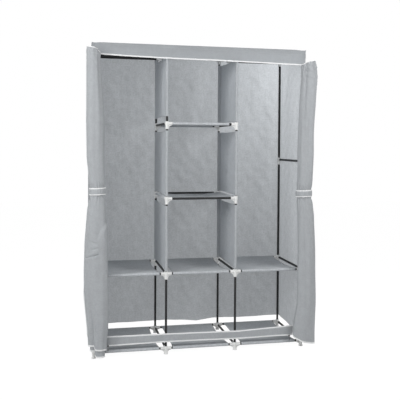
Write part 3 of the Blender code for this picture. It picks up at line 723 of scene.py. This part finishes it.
def wallWrinkles(u, v, seed, strength):
    # long soft vertical folds, slanting drag lines and small creases
    soft = ripples(u, v * 0.22, seed, 0.34, 6)
    drag = ripples(u + 0.35 * v, v * 0.5, seed + 1, 0.20, 7)
    small = ripples(u + 0.2 * v, v * 0.8, seed + 2, 0.085, 9)
    return strength * (0.50 * soft + 0.22 * drag + 0.13 * small)


def cornerPull(y, z):
    # near the roof the cover's front corners are cut off at 45 degrees, just outside the joints' hubs
    return np.clip(cover["cornerY"] - y, 0, None) * smoothStep(*cover["cornerZ"], z)


def frontDrop(x, y):
    # the roof's front edge drops at its two corners, in front of the joints' hubs
    right, left = smoothStep(*cover["rightDropX"], x), smoothStep(*cover["leftDropX"], x)
    return (right + cover["leftDropShare"] * left) * np.clip(cover["dropY"] - y, 0, None)


def sideDrop(x, y):
    # between the corner joints the roof's side edges slope down over the side tubes and the rod clips
    between = smoothStep(*cover["slopeFrontY"], y) * smoothStep(*cover["slopeBackY"], y)
    return between * np.clip(np.abs(x) - cover["slopeX"], 0, None)


def edgeTape(name, edge, beside, direction, size):
    # a binding along one edge of a sheet: beside is the next row of the sheet's points
    shell = stripShell(edge, unit(beside - edge), facing(edge, direction), *size)
    return makePiece(name, [shell], whiteTape)


# back wall: flat, with folds that fade towards the roof seam and the corners
u, v = unitGrid(181, 161)
x = (2 * u - 1) * (cover["halfWidth"] - 0.0003)
hemZ = np.interp(x, cover["backHemX"], cover["backHemZ"])
z = hemZ + (cover["roofZ"] - hemZ) * v
fade = smoothStep(0, 0.06, u) * smoothStep(0, 0.06, 1 - u) * smoothStep(0, 0.12, 1 - v)
y = cover["backY"] + fade * (cover["backFold"] * 0.45 + wallWrinkles(x, z, 5, cover["backFold"]))
backPoints = np.stack([x, np.maximum(y, cover["backY"] - cover["backRest"]), z], axis=-1)
maps = panelMaps(x + cover["halfWidth"], z - hemZ, 1.24, 1.672)
backWall = makeSheet("backWall", backPoints, maps, wallClothPaintedShade, "back_wall", flip=True)

# side walls: u runs from the front edge to the back corner, and the hem drops towards the front
sideWalls = {}
for word, side in sides.items():
    u, v = unitGrid(81, 161)
    toBack = u ** cover["toBackPower"]
    hemZ = layout["bottomZ"] + cover["wallHemRise"] - cover["wallHemDrop"] * (1 - toBack) ** 2
    straightZ = hemZ + (cover["roofZ"] - hemZ) * v
    edgeY = cover["wallFrontY"] - cover["edgePull"] * smoothStep(*cover["edgePullZ"], straightZ)
    y = edgeY + (cover["backY"] - 0.0003 - edgeY) * toBack
    edgeX = side * cover["halfWidth"] + 0 * y
    z = hemZ + (cover["roofZ"] - sideDrop(edgeX, y) - frontDrop(edgeX, y) - hemZ) * v
    fade = smoothStep(0.05, 0.15, toBack) * smoothStep(0.05, 0.13, 1 - toBack) * smoothStep(0, 0.10, 1 - v)
    inward = fade * (cover["sideFold"] * 0.5 + wallWrinkles(y, z, 15 + side, cover["sideFold"]))
    x = cover["halfWidth"] - cover["foldLimit"] * np.tanh(inward / cover["foldLimit"]) - cornerPull(y, z)
    points = np.stack([side * x, y, z], axis=-1)
    maps = panelMaps(y - cover["wallFrontY"], z - hemZ, 0.4474, 1.690)
    piece = makeSheet(f"{word}Wall", points, maps, wallClothPaintedShade, f"{word}_wall", flip=side < 0)
    sideWalls[word] = (points, piece)

# roof: lies on the top joints and sinks a little over each column
u, v = unitGrid(121, 61)
y = cover["frontY"] + (cover["backY"] - cover["frontY"]) * v ** cover["toBackPower"]
x = np.sin((u - 0.5) * 2.6) / math.sin(1.3) * (cover["halfWidth"] + 0.0008 - cornerPull(y, cover["roofZ"]))
sink = cover["roofSag"] * np.sin(3 * math.pi * u) ** 2 * np.sin(math.pi * v)
sink = sink + cover["roofRipple"] * ripples(x, y, 31, 0.14) * np.sin(math.pi * v) * np.sin(math.pi * u)
roofPoints = np.stack([x, y, cover["roofZ"] + 0.0006 - sink - frontDrop(x, y) - sideDrop(x, y)], axis=-1)
maps = panelMaps(x + cover["halfWidth"], y - cover["frontY"], 1.2416, 0.45)
roof = makeSheet("roofPanel", roofPoints, maps, coverCloth, "roof")

# front valance: hangs from the roof's front seam, its lower edge lifts where the left roll pushes it up
valance = {
    "x": [-0.61, -0.55, -0.47, -0.36, -0.22, -0.08, 0.0, 0.25, 0.50, 0.61],
    "lowZ": [1.684, 1.679, 1.6755, 1.673, 1.671, 1.6695, 1.669, 1.6635, 1.659, 1.658],
    "halfWidth": 0.6083, "leftFlare": 0.0045, "wave": 0.0026, "ripple": 0.0012, "offset": 0.0009,
    "tape": (0.0066, 0.0024),
}
u, v = unitGrid(161, 25)
x = (2 * u - 1) * valance["halfWidth"]
lowZ = np.interp(x, valance["x"], valance["lowZ"]) + 0.0008 * np.sin(9 * u + 1.0)
z = lowZ + (cover["roofZ"] - frontDrop(x, cover["frontY"]) - lowZ) * v
x = x - valance["leftFlare"] * (1 - v) * smoothStep(-0.56, -0.61, x)
free = smoothStep(0.54, 0.50, np.abs(x)) * (1 - v)
wave = valance["wave"] * (0.6 + 0.8 * ripples(x, z, 71, 0.30, 5))
wave = wave + valance["ripple"] * ripples(x, z, 72, 0.10, 6)
valancePoints = np.stack([x, cover["frontY"] - valance["offset"] - free * wave, z], axis=-1)
maps = panelMaps(x + cover["halfWidth"], z - lowZ, 1.2416, 0.068)
frontValance = makeSheet("frontValance", valancePoints, maps, coverCloth, "front_valance")

# hems, tapes and seams of the cover
makePiece("backWallHem", [weltShell(backPoints[:, 0], cover["hemRadius"])], wallClothPaintedShade)
for word, (points, piece) in sideWalls.items():
    makePiece(f"{word}WallHem", [weltShell(points[:, 0], cover["hemRadius"])], wallClothPaintedShade)
    bound = points[0, :, 2] < cover["wallTapeTopZ"]
    edgeTape(f"{word}WallFrontTape", points[0][bound], points[1][bound], axisX, cover["wallTape"])
valanceTape = edgeTape("valanceTape", valancePoints[:, 0], valancePoints[:, 1], -axisY, valance["tape"])
roofRim = np.vstack([roofPoints[:, 0], roofPoints[-1, 1:], roofPoints[-2::-1, -1], roofPoints[0, -2:0:-1]])
makePiece("roofSeam", [weltShell(roofRim, cover["weltRadius"], closed=True)], coverCloth)
backHeights = np.linspace(0.074, cover["roofZ"], 40)
for word, side in sides.items():
    front = valancePoints[0 if side < 0 else -1][3:] + (side * 0.0008, 0.0006, 0)
    back = [(side * cover["halfWidth"], cover["backY"], height) for height in backHeights]
    makePiece(f"{word}FrontSeam", [weltShell(front, cover["weltRadius"])], coverCloth)
    makePiece(f"{word}BackSeam", [weltShell(back, cover["weltRadius"])], wallClothPaintedShade)
print("cover: roof, valance and three walls")

# band across the bottom: a strip between two edges read from tables, with ripples that stand out in front
band = {
    "lowX": [-0.62, -0.535, -0.217, 0.0, 0.22, 0.46, 0.53, 0.56, 0.62],
    "lowZ": [0.069, 0.067, 0.072, 0.070, 0.067, 0.070, 0.069, 0.074, 0.078],
    "highX": [-0.62, -0.535, -0.188, 0.05, 0.22, 0.48, 0.547, 0.62],
    "highZ": [0.123, 0.122, 0.120, 0.117, 0.114, 0.126, 0.129, 0.128],
    "y": -0.1923, "wave": 0.0012, "thick": 0.0010, "tape": (0.0070, 0.0026),
}
coil = {
    "pitch": 0.0026, "halfThick": 0.0007, "halfTall": 0.0006, "rows": (-0.0013, -0.0009, 0.0009, 0.0013),
    "size": (0.4, 1.0, 1.0, 0.4), "offset": (0, -0.0016, 0.0012),
}
u, v = unitGrid(201, 19)
x = (2 * u - 1) * cover["halfWidth"]
lowZ, highZ = np.interp(x, band["lowX"], band["lowZ"]), np.interp(x, band["highX"], band["highZ"])
z = lowZ + (highZ - lowZ) * v
y = band["y"] - band["wave"] * np.abs(ripples(x, z, 82, 0.20, 6)) * smoothStep(0.56, 0.50, np.abs(x))
bandPoints = np.stack([x, y, z], axis=-1)
maps = panelMaps(x + cover["halfWidth"], z - lowZ, 1.24, 0.052)
frontBand = makeSheet("frontBand", bandPoints, maps, doorCloth, "front_band", thick=band["thick"])
for name, edge, beside in (("bandTopTape", -1, -2), ("bandZipTape", 0, 1)):
    edgeTape(name, bandPoints[:, edge], bandPoints[:, beside], -axisY, band["tape"])


def toothShell(path, outward, up):
    # coil zip: one small six-sided bar for each turn of the coil, copied along the path as one array
    count = int(runLength(path)[-1] / coil["pitch"])
    where = np.linspace(0, len(path) - 1, count)
    places = np.stack([np.interp(where, np.arange(len(path)), path[:, k]) for k in range(3)], axis=1)
    angle = np.arange(6) * tau / 6
    size = np.array(coil["size"])[:, None, None]
    across = size * (coil["halfThick"] * np.cos(angle))[None, :, None] * axisX
    along = np.array(coil["rows"])[:, None, None] * up
    one = gridShell(across + along + size * (coil["halfTall"] * np.sin(angle))[None, :, None] * outward,
                    wrapCols=True, ends=True)
    step = np.arange(count)[:, None, None] * len(one["points"])
    caps = (np.array(one["caps"])[None] + step).reshape(-1, len(angle)).tolist()
    points = (places[:, None] + one["points"][None]).reshape(-1, 3)
    return {"points": points, "quads": (one["quads"][None] + step).reshape(-1, 4), "caps": caps, "maps": {}}


makePiece("bandZipCoil", [toothShell(bandPoints[:, 0] + coil["offset"], -axisY, axisZ)], zipCoil)
print("band: done")


# Rolled doors. front is the angle round the roll: 0 at the front, growing towards the outer side.
def leftRollForm(front, z):
    # a valley and a ridge low down, short creases half-way, and a fold that comes over from the inner side
    valley = bellCurve(front, 0.62, 0.26) * smoothStep(0.52, 0.10, z) * 0.0095
    ridge = bellCurve(front, -0.35, 0.34) * smoothStep(0.75, 0.25, z) * 0.0022
    crease = bellCurve(z, 0.586 - 0.014 * front, 0.0048) * smoothStep(-0.45, -0.1, front)
    crease = crease * smoothStep(1.5, 0.9, front) * 0.0056
    drawn = bellCurve(z, 0.652 + 0.016 * front, 0.0055) + bellCurve(z, 0.622 - 0.012 * front, 0.0055)
    drawn = drawn * bellCurve(front, 0.15, 0.42) * 0.0036
    over = smoothStep(0.16, -0.16, front + 0.1 + 1.3 * ((z - 0.64) / 0.125) ** 2)
    over = over * smoothStep(0.55, 0.63, z) * smoothStep(0.79, 0.74, z) * 0.0062
    return ridge + over - valley - crease - drawn


def rightRollForm(front, z):
    # one long shallow groove
    return -bellCurve(front, 1.0, 0.16) * smoothStep(1.60, 1.35, z) * 0.0035


doors = {
    "left": {
        "side": -1, "seed": 90, "strapZ": 0.932, "topZ": 1.7185, "lobe": 1.0, "folds": 1.0, "crumple": 0.0014,
        "z": [0.06, 0.10, 0.18, 0.31, 0.39, 0.50, 0.66, 0.83, 0.914,
              0.95, 1.00, 1.12, 1.32, 1.43, 1.54, 1.65, 1.72],
        "outer": [-0.642, -0.642, -0.645, -0.658, -0.665, -0.666, -0.6615, -0.648, -0.633,
                  -0.633, -0.6385, -0.653, -0.657, -0.656, -0.656, -0.656, -0.655],
        "inner": [-0.537, -0.537, -0.530, -0.529, -0.529, -0.532, -0.539, -0.546, -0.551,
                  -0.551, -0.552, -0.554, -0.553, -0.561, -0.570, -0.576, -0.579],
        "hemTurn": [0, 95, 128, 142, 250, 480, 488, 600, 900],
        "hemZ": [0.088, 0.088, 0.086, 0.066, 0.060, 0.058, 0.024, 0.024, 0.028],
        "topTurn": [0, 69, 159, 204, 249, 340, 900],
        "topEdge": [1.7175, 1.7185, 1.7105, 1.701, 1.682, 1.690, 1.700],
        "form": leftRollForm,
    },
    "right": {
        "side": 1, "seed": 140, "strapZ": 0.910, "topZ": 1.681, "lobe": 0.0, "folds": 1.5, "crumple": 0.0028,
        "z": [0.03, 0.10, 0.173, 0.26, 0.35, 0.60, 0.783, 0.84, 0.895,
              0.925, 0.99, 1.16, 1.338, 1.485, 1.584, 1.655, 1.68],
        "outer": [0.6725, 0.673, 0.6755, 0.6765, 0.675, 0.668, 0.6625, 0.655, 0.644,
                  0.644, 0.652, 0.660, 0.664, 0.670, 0.676, 0.671, 0.662],
        "inner": [0.531, 0.531, 0.538, 0.555, 0.560, 0.5595, 0.5585, 0.558, 0.5565,
                  0.5565, 0.559, 0.5585, 0.565, 0.573, 0.578, 0.576, 0.577],
        "hemTurn": [0, 69, 115, 159, 204, 249, 340, 900],
        "hemZ": [0.030, 0.026, 0.031, 0.042, 0.064, 0.091, 0.085, 0.075],
        "topTurn": [0, 69, 115, 159, 204, 249, 340, 900],
        "topEdge": [1.674, 1.679, 1.681, 1.675, 1.664, 1.656, 1.664, 1.668],
        "form": rightRollForm,
    },
}
roll = {
    "backY": -0.1948, "wallX": 0.6225, "halfDepth": 0.0350, "waistHalfDepth": 0.0300, "waistReach": 0.16,
    "startAngle": 1.20, "turns": 2.35, "columns": 136, "rows": 290, "thick": 0.0010,
    "shareTurn": [0, 250, 430, 850], "share": [1, 1, 0.82, 0.38],
    "tapeWidth": {"Hem": 0.0082, "Top": 0.0042, "FreeEdge": 0.0082, "WallEdge": 0.0082}, "tapeThick": 0.0022,
    # each fold is (height, count round the roll, drift with z, share of the seed)
    "folds": [(0.0018, 3, 2.2, 1), (0.0013, 5, -3.4, 2), (0.0008, 9, 5.0, 3)],
    "pleat": 0.0028, "slow": 0.0014, "tighten": 0.0030, "pinchBelow": 0.0042, "pinchAbove": 0.0030,
    "outerPinch": 0.0052, "coreShift": 0.0086,
}
strap = {
    "height": 0.0370, "thick": 0.0012, "grow": 0.0036, "columns": 120, "rows": 8, "tilt": 0.0015,
    "belly": 0.0012, "pleated": 0.25, "ownShape": 0.3, "tape": (0.0085, 0.0028),
}


def rollPlace(door, angle, share, z, grow=0.0, pleated=1.0):
    # A point on the winding: an ellipse that shrinks with share, plus folds that run along the roll.
    # The folds are sines of the angle that wander with height, with fine pleats and a pinch at the strap.
    seed, strapZ, topZ = door["seed"], door["strapZ"], door["topZ"]
    outer, inner = np.interp(z, door["z"], door["outer"]), np.interp(z, door["z"], door["inner"])
    tight = np.exp(-((np.abs(z - strapZ) / roll["waistReach"]) ** 1.6))
    deep = roll["halfDepth"] + (roll["waistHalfDepth"] - roll["halfDepth"]) * tight
    wide = np.abs(outer - inner) / 2
    front = (angle + math.pi / 2 + math.pi) % tau - math.pi
    folds = sum(height * np.sin(count * angle + drift * z + part * seed)
                for height, count, drift, part in roll["folds"])
    slow = roll["slow"] * ripples(angle * 0.05, z * 0.4, seed + 1, 0.22)
    crumple = door["crumple"] * ripples(angle * 0.05, z, seed, 0.045)
    crumple = crumple * smoothStep(topZ - 0.20, topZ - 0.03, z)
    pleats = roll["pleat"] * np.sin(15 * angle + 2.0 * np.sin(3 * angle) + seed) * bellCurve(z, strapZ, 0.062)
    pinch = roll["pinchBelow"] * bellCurve(z, strapZ - 0.028, 0.013)
    pinch = pinch + roll["pinchAbove"] * bellCurve(z, strapZ + 0.027, 0.012)
    outerSide = smoothStep(0.4, 1.4, front) * smoothStep(2.9, 2.2, front) * door["lobe"] * pleated
    pinch = pinch + roll["outerPinch"] * outerSide * bellCurve(z, strapZ, 0.055)
    push = (folds * door["folds"] + slow - roll["tighten"]) * (1 - tight) + pleats * pleated - pinch + crumple
    push = (push + door["form"](front, z)) * np.clip(share, 0.3, 1) + grow
    shift = roll["coreShift"] * door["lobe"] * smoothStep(0.82, 0.68, share) * smoothStep(0.30, 0.10, z)
    x = (outer + inner) / 2 + shift + door["side"] * (wide * share + push) * np.cos(angle)
    y = roll["backY"] - deep + (deep * share + push) * np.sin(angle)
    return np.stack([x, np.minimum(y, roll["backY"] + grow), z], axis=-1)


def rowShares(door):
    # the rows lie closer together at the strap and, on the left roll, at its creases
    share = np.linspace(0, 1, 2001)
    z = share * 1.65
    dense = 1 + 2.2 * bellCurve(z, door["strapZ"] - 0.03, 0.055)
    dense = dense + 2.4 * door["lobe"] * bellCurve(z, 0.57, 0.07)
    dense = np.concatenate([[0], np.cumsum(dense[1:] + dense[:-1])])
    return np.interp(np.linspace(0, 1, roll["rows"] + 1), dense / dense[-1], share)


def makeRoll(word, door, body):
    # the wound door with its bindings; its outer end leaves the roll and joins the side wall's front edge
    along, up = np.meshgrid(np.linspace(0, 1, roll["columns"] + 1), rowShares(door), indexing="ij")
    wound = along * roll["turns"] * 360
    lowZ = np.interp(wound, door["hemTurn"], door["hemZ"])
    highZ = np.interp(wound, door["topTurn"], door["topEdge"])
    z = lowZ + (highZ - lowZ) * up
    share = np.interp(wound, roll["shareTurn"], roll["share"])
    points = rollPlace(door, roll["startAngle"] - np.radians(wound), share, z)
    joinEnd = smoothStep(60, 0, wound)[..., None]
    flare = smoothStep(0.08, 0.14, z) * smoothStep(0.56, 0.36, z) * door["lobe"]
    wallX = door["side"] * (roll["wallX"] - cornerPull(cover["frontY"], z))
    endX = wallX + (np.interp(z, door["z"], door["outer"]) + door["side"] * 0.0015 - wallX) * flare
    endPoints = np.stack([endX, roll["backY"] + 0.0006 - 0.004 * flare, z], axis=-1)
    points = points * (1 - joinEnd) + endPoints * joinEnd
    run = runLength(points[:, roll["rows"] // 2])
    maps = panelMaps(np.broadcast_to(run[:, None], z.shape), z - lowZ, float(run[-1]), 1.62)
    node = f"{word}_rolled_door"
    piece = makeSheet(f"{word}RolledDoor", points, maps, doorCloth, node, body=body, thick=roll["thick"])
    outward = unit(np.cross(np.gradient(points, axis=0), np.gradient(points, axis=1))) * -door["side"]
    edges = {
        "Hem": (points[:, 0], points[:, 1], outward[:, 0]),
        "Top": (points[:, -1], points[:, -2], outward[:, -1]),
        "FreeEdge": (points[-1], points[-3], outward[-1]),
        "WallEdge": (points[0], points[2], outward[0]),
    }
    for place, (edge, beside, face) in edges.items():
        inward = beside - edge
        inward = unit(inward - np.sum(inward * face, axis=-1, keepdims=True) * face)
        shell = stripShell(edge, inward, face, roll["tapeWidth"][place], roll["tapeThick"])
        makePiece(f"{word}Door{place}Tape", [shell], whiteTape, body=body)
    return piece, float(run[-1])


def makeStrap(word, door, body):
    # tie strap: a ring of cloth that follows the roll's folds, with white edges
    level = np.array([1, 1, 0])
    angle, share = np.meshgrid(np.arange(strap["columns"]) * tau / strap["columns"],
                               np.linspace(-0.5, 0.5, strap["rows"] + 1), indexing="ij")
    z = door["strapZ"] + share * strap["height"] + strap["tilt"] * np.cos(angle) * door["side"]
    straight, tilted = [rollPlace(door, angle, np.ones_like(z), height, strap["grow"], strap["pleated"])
                        for height in (z * 0 + door["strapZ"], z)]
    ring = tilted * strap["ownShape"] + straight * (1 - strap["ownShape"])
    middle = ring.mean(axis=(0, 1))
    ring = ring + unit((ring - middle) * level) * (strap["belly"] * (1 - 4 * share ** 2))[..., None]
    ring[..., 2] = z
    run = runLength(ring[:, 0], closed=True)
    cloth = placeMap(run, np.linspace(0, strap["height"], strap["rows"] + 1))
    shell = gridShell(ring, {"cloth": cloth, "hem": cloth[..., ::-1] + (0.02, 0)}, wrapRows=True)
    piece = makePiece(f"{word}Strap", [shell], doorCloth, [f"{word}_door_strap"], body, closed=False,
                      thick=strap["thick"])
    face = unit((ring - middle) * level)
    for place, row, way in (("Lower", 0, axisZ), ("Upper", -1, -axisZ)):
        edge = ring[:, row]
        shell = stripShell(edge, facing(edge, way), face[:, row], *strap["tape"], closed=True)
        makePiece(f"{word}Strap{place}Tape", [shell], whiteTape, body=body)
    flat = (float(run[-1]), strap["height"])
    return flat[0]


for word, door in doors.items():
    rolled, clothRun = makeRoll(word, door, f"{word}_door")
    strapRun = makeStrap(word, door, f"{word}_door")
    print(word, "door: wound", round(clothRun, 3), "m of cloth, strap", round(strapRun, 3), "m")

# zip sliders and pulls
zipper = {
    "pinY": -0.1989, "pinZ": 0.0692, "cheekAway": 0.0034, "cheekHalfWide": 0.0056, "cheekCorner": 0.0028,
    "cheekTaper": 0.16, "plate": 0.0013, "bridgeY": -0.1960, "bridgeReach": 0.0036, "bridgeHalf": 0.0030,
    "bridgeRadius": 0.0008, "pullHalfWide": 0.0030, "pullHalfTall": 0.0115, "pullCorner": 0.0026,
    "pullDrop": 0.0142, "pullThick": 0.0012, "slot": (0.0013, 0.0040, 0.0012), "base": (0.0050, 0.0010),
    "eyeWide": 0.0021, "eyeTall": 0.0026, "eyeRadius": 0.0006, "bevel": 0.0003,
}


def roundedOutline(halfWide, halfTall, corner, steps=5):
    # rectangle with round corners, as (across, up) points
    turns = np.linspace(0, math.pi / 2, steps)
    parts = []
    for quarter, (sx, sy) in enumerate(((1, 1), (-1, 1), (-1, -1), (1, -1))):
        angle = turns + quarter * math.pi / 2
        across = sx * (halfWide - corner) + corner * np.cos(angle)
        up = sy * (halfTall - corner) + corner * np.sin(angle)
        parts.append(np.stack([across, up], axis=1))
    return np.vstack(parts)


for word in sides:
    low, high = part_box(f"{word}_zip_slider")
    middleX, middleZ, halfTall = (low.x + high.x) / 2, (low.z + high.z) / 2, (high.z - low.z) / 2
    # slider: two tapered cheeks, a base between them and a bridge in front
    cheek = roundedOutline(zipper["cheekHalfWide"], halfTall, zipper["cheekCorner"])
    cheek[:, 0] *= 1 - zipper["cheekTaper"] * (cheek[:, 1] / halfTall)
    shells = [plateShell(cheek, (middleX, band["y"] + away, middleZ), axisX, axisZ, zipper["plate"], 0.0004)
              for away in (-zipper["cheekAway"], zipper["cheekAway"])]
    base = roundedOutline(zipper["base"][0], zipper["cheekAway"], zipper["base"][1])
    basePlace = (middleX, band["y"], low.z + 0.0007)
    shells.append(plateShell(base, basePlace, axisX, axisY, zipper["plate"], zipper["bevel"]))
    angle = np.linspace(0, math.pi, 9)
    bridge = np.stack([angle * 0 + middleX, zipper["bridgeY"] - zipper["bridgeReach"] * np.sin(angle),
                       zipper["pinZ"] + zipper["bridgeHalf"] * np.cos(angle)], axis=1)
    shells.append(weltShell(bridge, zipper["bridgeRadius"], mapped=False))
    makePiece(f"{word}ZipSlider", shells, zipMetal, [f"{word}_zip_slider"], f"{word}_slider")
    # pull: an eye round the bridge and a flat tab with a slot
    outline = roundedOutline(zipper["pullHalfWide"], zipper["pullHalfTall"], zipper["pullCorner"])
    tabMiddle = (middleX, zipper["pinY"], zipper["pinZ"] - zipper["pullDrop"])
    tab = plateShell(outline, tabMiddle, axisX, axisZ, zipper["pullThick"], zipper["bevel"],
                     hole=roundedOutline(*zipper["slot"]))
    angle = np.arange(20) * tau / 20
    eye = np.stack([middleX + zipper["eyeWide"] * np.cos(angle), angle * 0 + zipper["pinY"],
                    zipper["pinZ"] - 0.0004 + zipper["eyeTall"] * np.sin(angle)], axis=1)
    shells = [tab, weltShell(eye, zipper["eyeRadius"], closed=True, mapped=False)]
    makePiece(f"{word}ZipPull", shells, zipMetal, [f"{word}_zip_pull"], f"{word}_pull")
print("zips: done")

# floor, light and camera
stage = {
    "worldLight": 0.29, "floorSeen": 0.92, "floorGlow": 1.06, "floorHalf": 9,
    # name: place, target, width, height, power
    "lamps": {
        "frontLeftSoftbox": ((-1.9, -3.6, 2.3), (-0.2, 0, 1.2), 2.0, 2.0, 36.0),
        "frontRightSoftbox": ((1.5, -1.9, 2.35), (0.4, 0, 1.4), 1.0, 1.0, 35.0),
        "leftSoftbox": ((-2.4, -1.6, 2.0), (-0.6, -0.2, 1.5), 0.8, 1.2, 42.0),
        "rightSoftbox": ((2.0, 0.3, 2.3), (0.6, 0.05, 1.6), 0.8, 0.8, 6.5),
        "backRightSoftbox": ((1.0, 0.95, 1.95), (0.42, 0.26, 1.5), 0.5, 0.7, 18.5),
    },
    "cameraPlace": (-0.792, -3.803, 1.189), "cameraYaw": -12.16, "cameraPitch": -1.5, "cameraRoll": 0.38,
    "sensor": 36.0, "lens": 58.55, "shiftY": -0.0955, "clipEnd": 60,
}


def addHolder(name, data):
    # an object in the scene for a mesh, a lamp or a camera
    holder = bpy.data.objects.new(name, data)
    bpy.context.scene.collection.objects.link(holder)
    return holder


def seenRay(tree):
    # 1 for the rays that reach the camera straight, by gloss or through glass
    path = addNode(tree, "LightPath", {}).outputs
    seen = calculate(tree, "MAXIMUM", path["Is Camera Ray"], path["Is Glossy Ray"])
    return calculate(tree, "MAXIMUM", seen, path["Is Transmission Ray"])


half = stage["floorHalf"]
floorCorners = [(-half, -half, 0), (half, -half, 0), (half, half, 0), (-half, half, 0)]
floorMesh = bpy.data.meshes.new("floor")
floorMesh.from_pydata(floorCorners, [], [(0, 1, 2, 3)])
floor = addHolder("floor", floorMesh)
floorPaint, tree, shader, surface = newMaterial("paleFloor")
feed(tree, shader, {"Base Color": (0.82, 0.82, 0.82, 1), "Roughness": 0.9, "Specular IOR Level": 0.1})
amount = calculate(tree, "MULTIPLY", seenRay(tree), stage["floorSeen"])
glow = addNode(tree, "Emission", {"Color": (1, 1, 1, 1), "Strength": stage["floorGlow"]}).outputs[0]
both = addNode(tree, "MixShader", {0: amount, 1: shader.outputs[0], 2: glow})
feed(tree, surface, {"Surface": both.outputs[0]})
floorMesh.materials.append(floorPaint)

world = bpy.data.worlds.new("paleStudio")
bpy.context.scene.world = world
world.use_nodes = True
tree = world.node_tree
strength = remap(tree, seenRay(tree), 0.0, 1.0, stage["worldLight"], 1.0)
feed(tree, tree.nodes["Background"], {"Color": (1, 1, 1, 1), "Strength": strength})

for name, (place, target, width, height, power) in stage["lamps"].items():
    lamp = bpy.data.lights.new(name, "AREA")
    lamp.shape = "RECTANGLE"
    lamp.size, lamp.size_y, lamp.energy = width, height, power
    aim = (Vector(target) - Vector(place)).to_track_quat("-Z", "Y").to_matrix().to_4x4()
    addHolder(name, lamp).matrix_world = Matrix.Translation(place) @ aim

camera = bpy.data.cameras.new("photoView")
camera.sensor_width, camera.lens, camera.shift_y = stage["sensor"], stage["lens"], stage["shiftY"]
camera.clip_end = stage["clipEnd"]
turns = ((stage["cameraYaw"], "Z"), (90 + stage["cameraPitch"], "X"), (stage["cameraRoll"], "Z"))
yaw, pitch, bank = [Matrix.Rotation(math.radians(angle), 4, axis) for angle, axis in turns]
cameraHolder = addHolder("photoView", camera)
cameraHolder.matrix_world = Matrix.Translation(stage["cameraPlace"]) @ (yaw @ pitch @ bank)
bpy.context.scene.camera = cameraHolder
bpy.context.scene.view_settings.view_transform = "Standard"

bpy.context.view_layer.update()
print("stage: done")
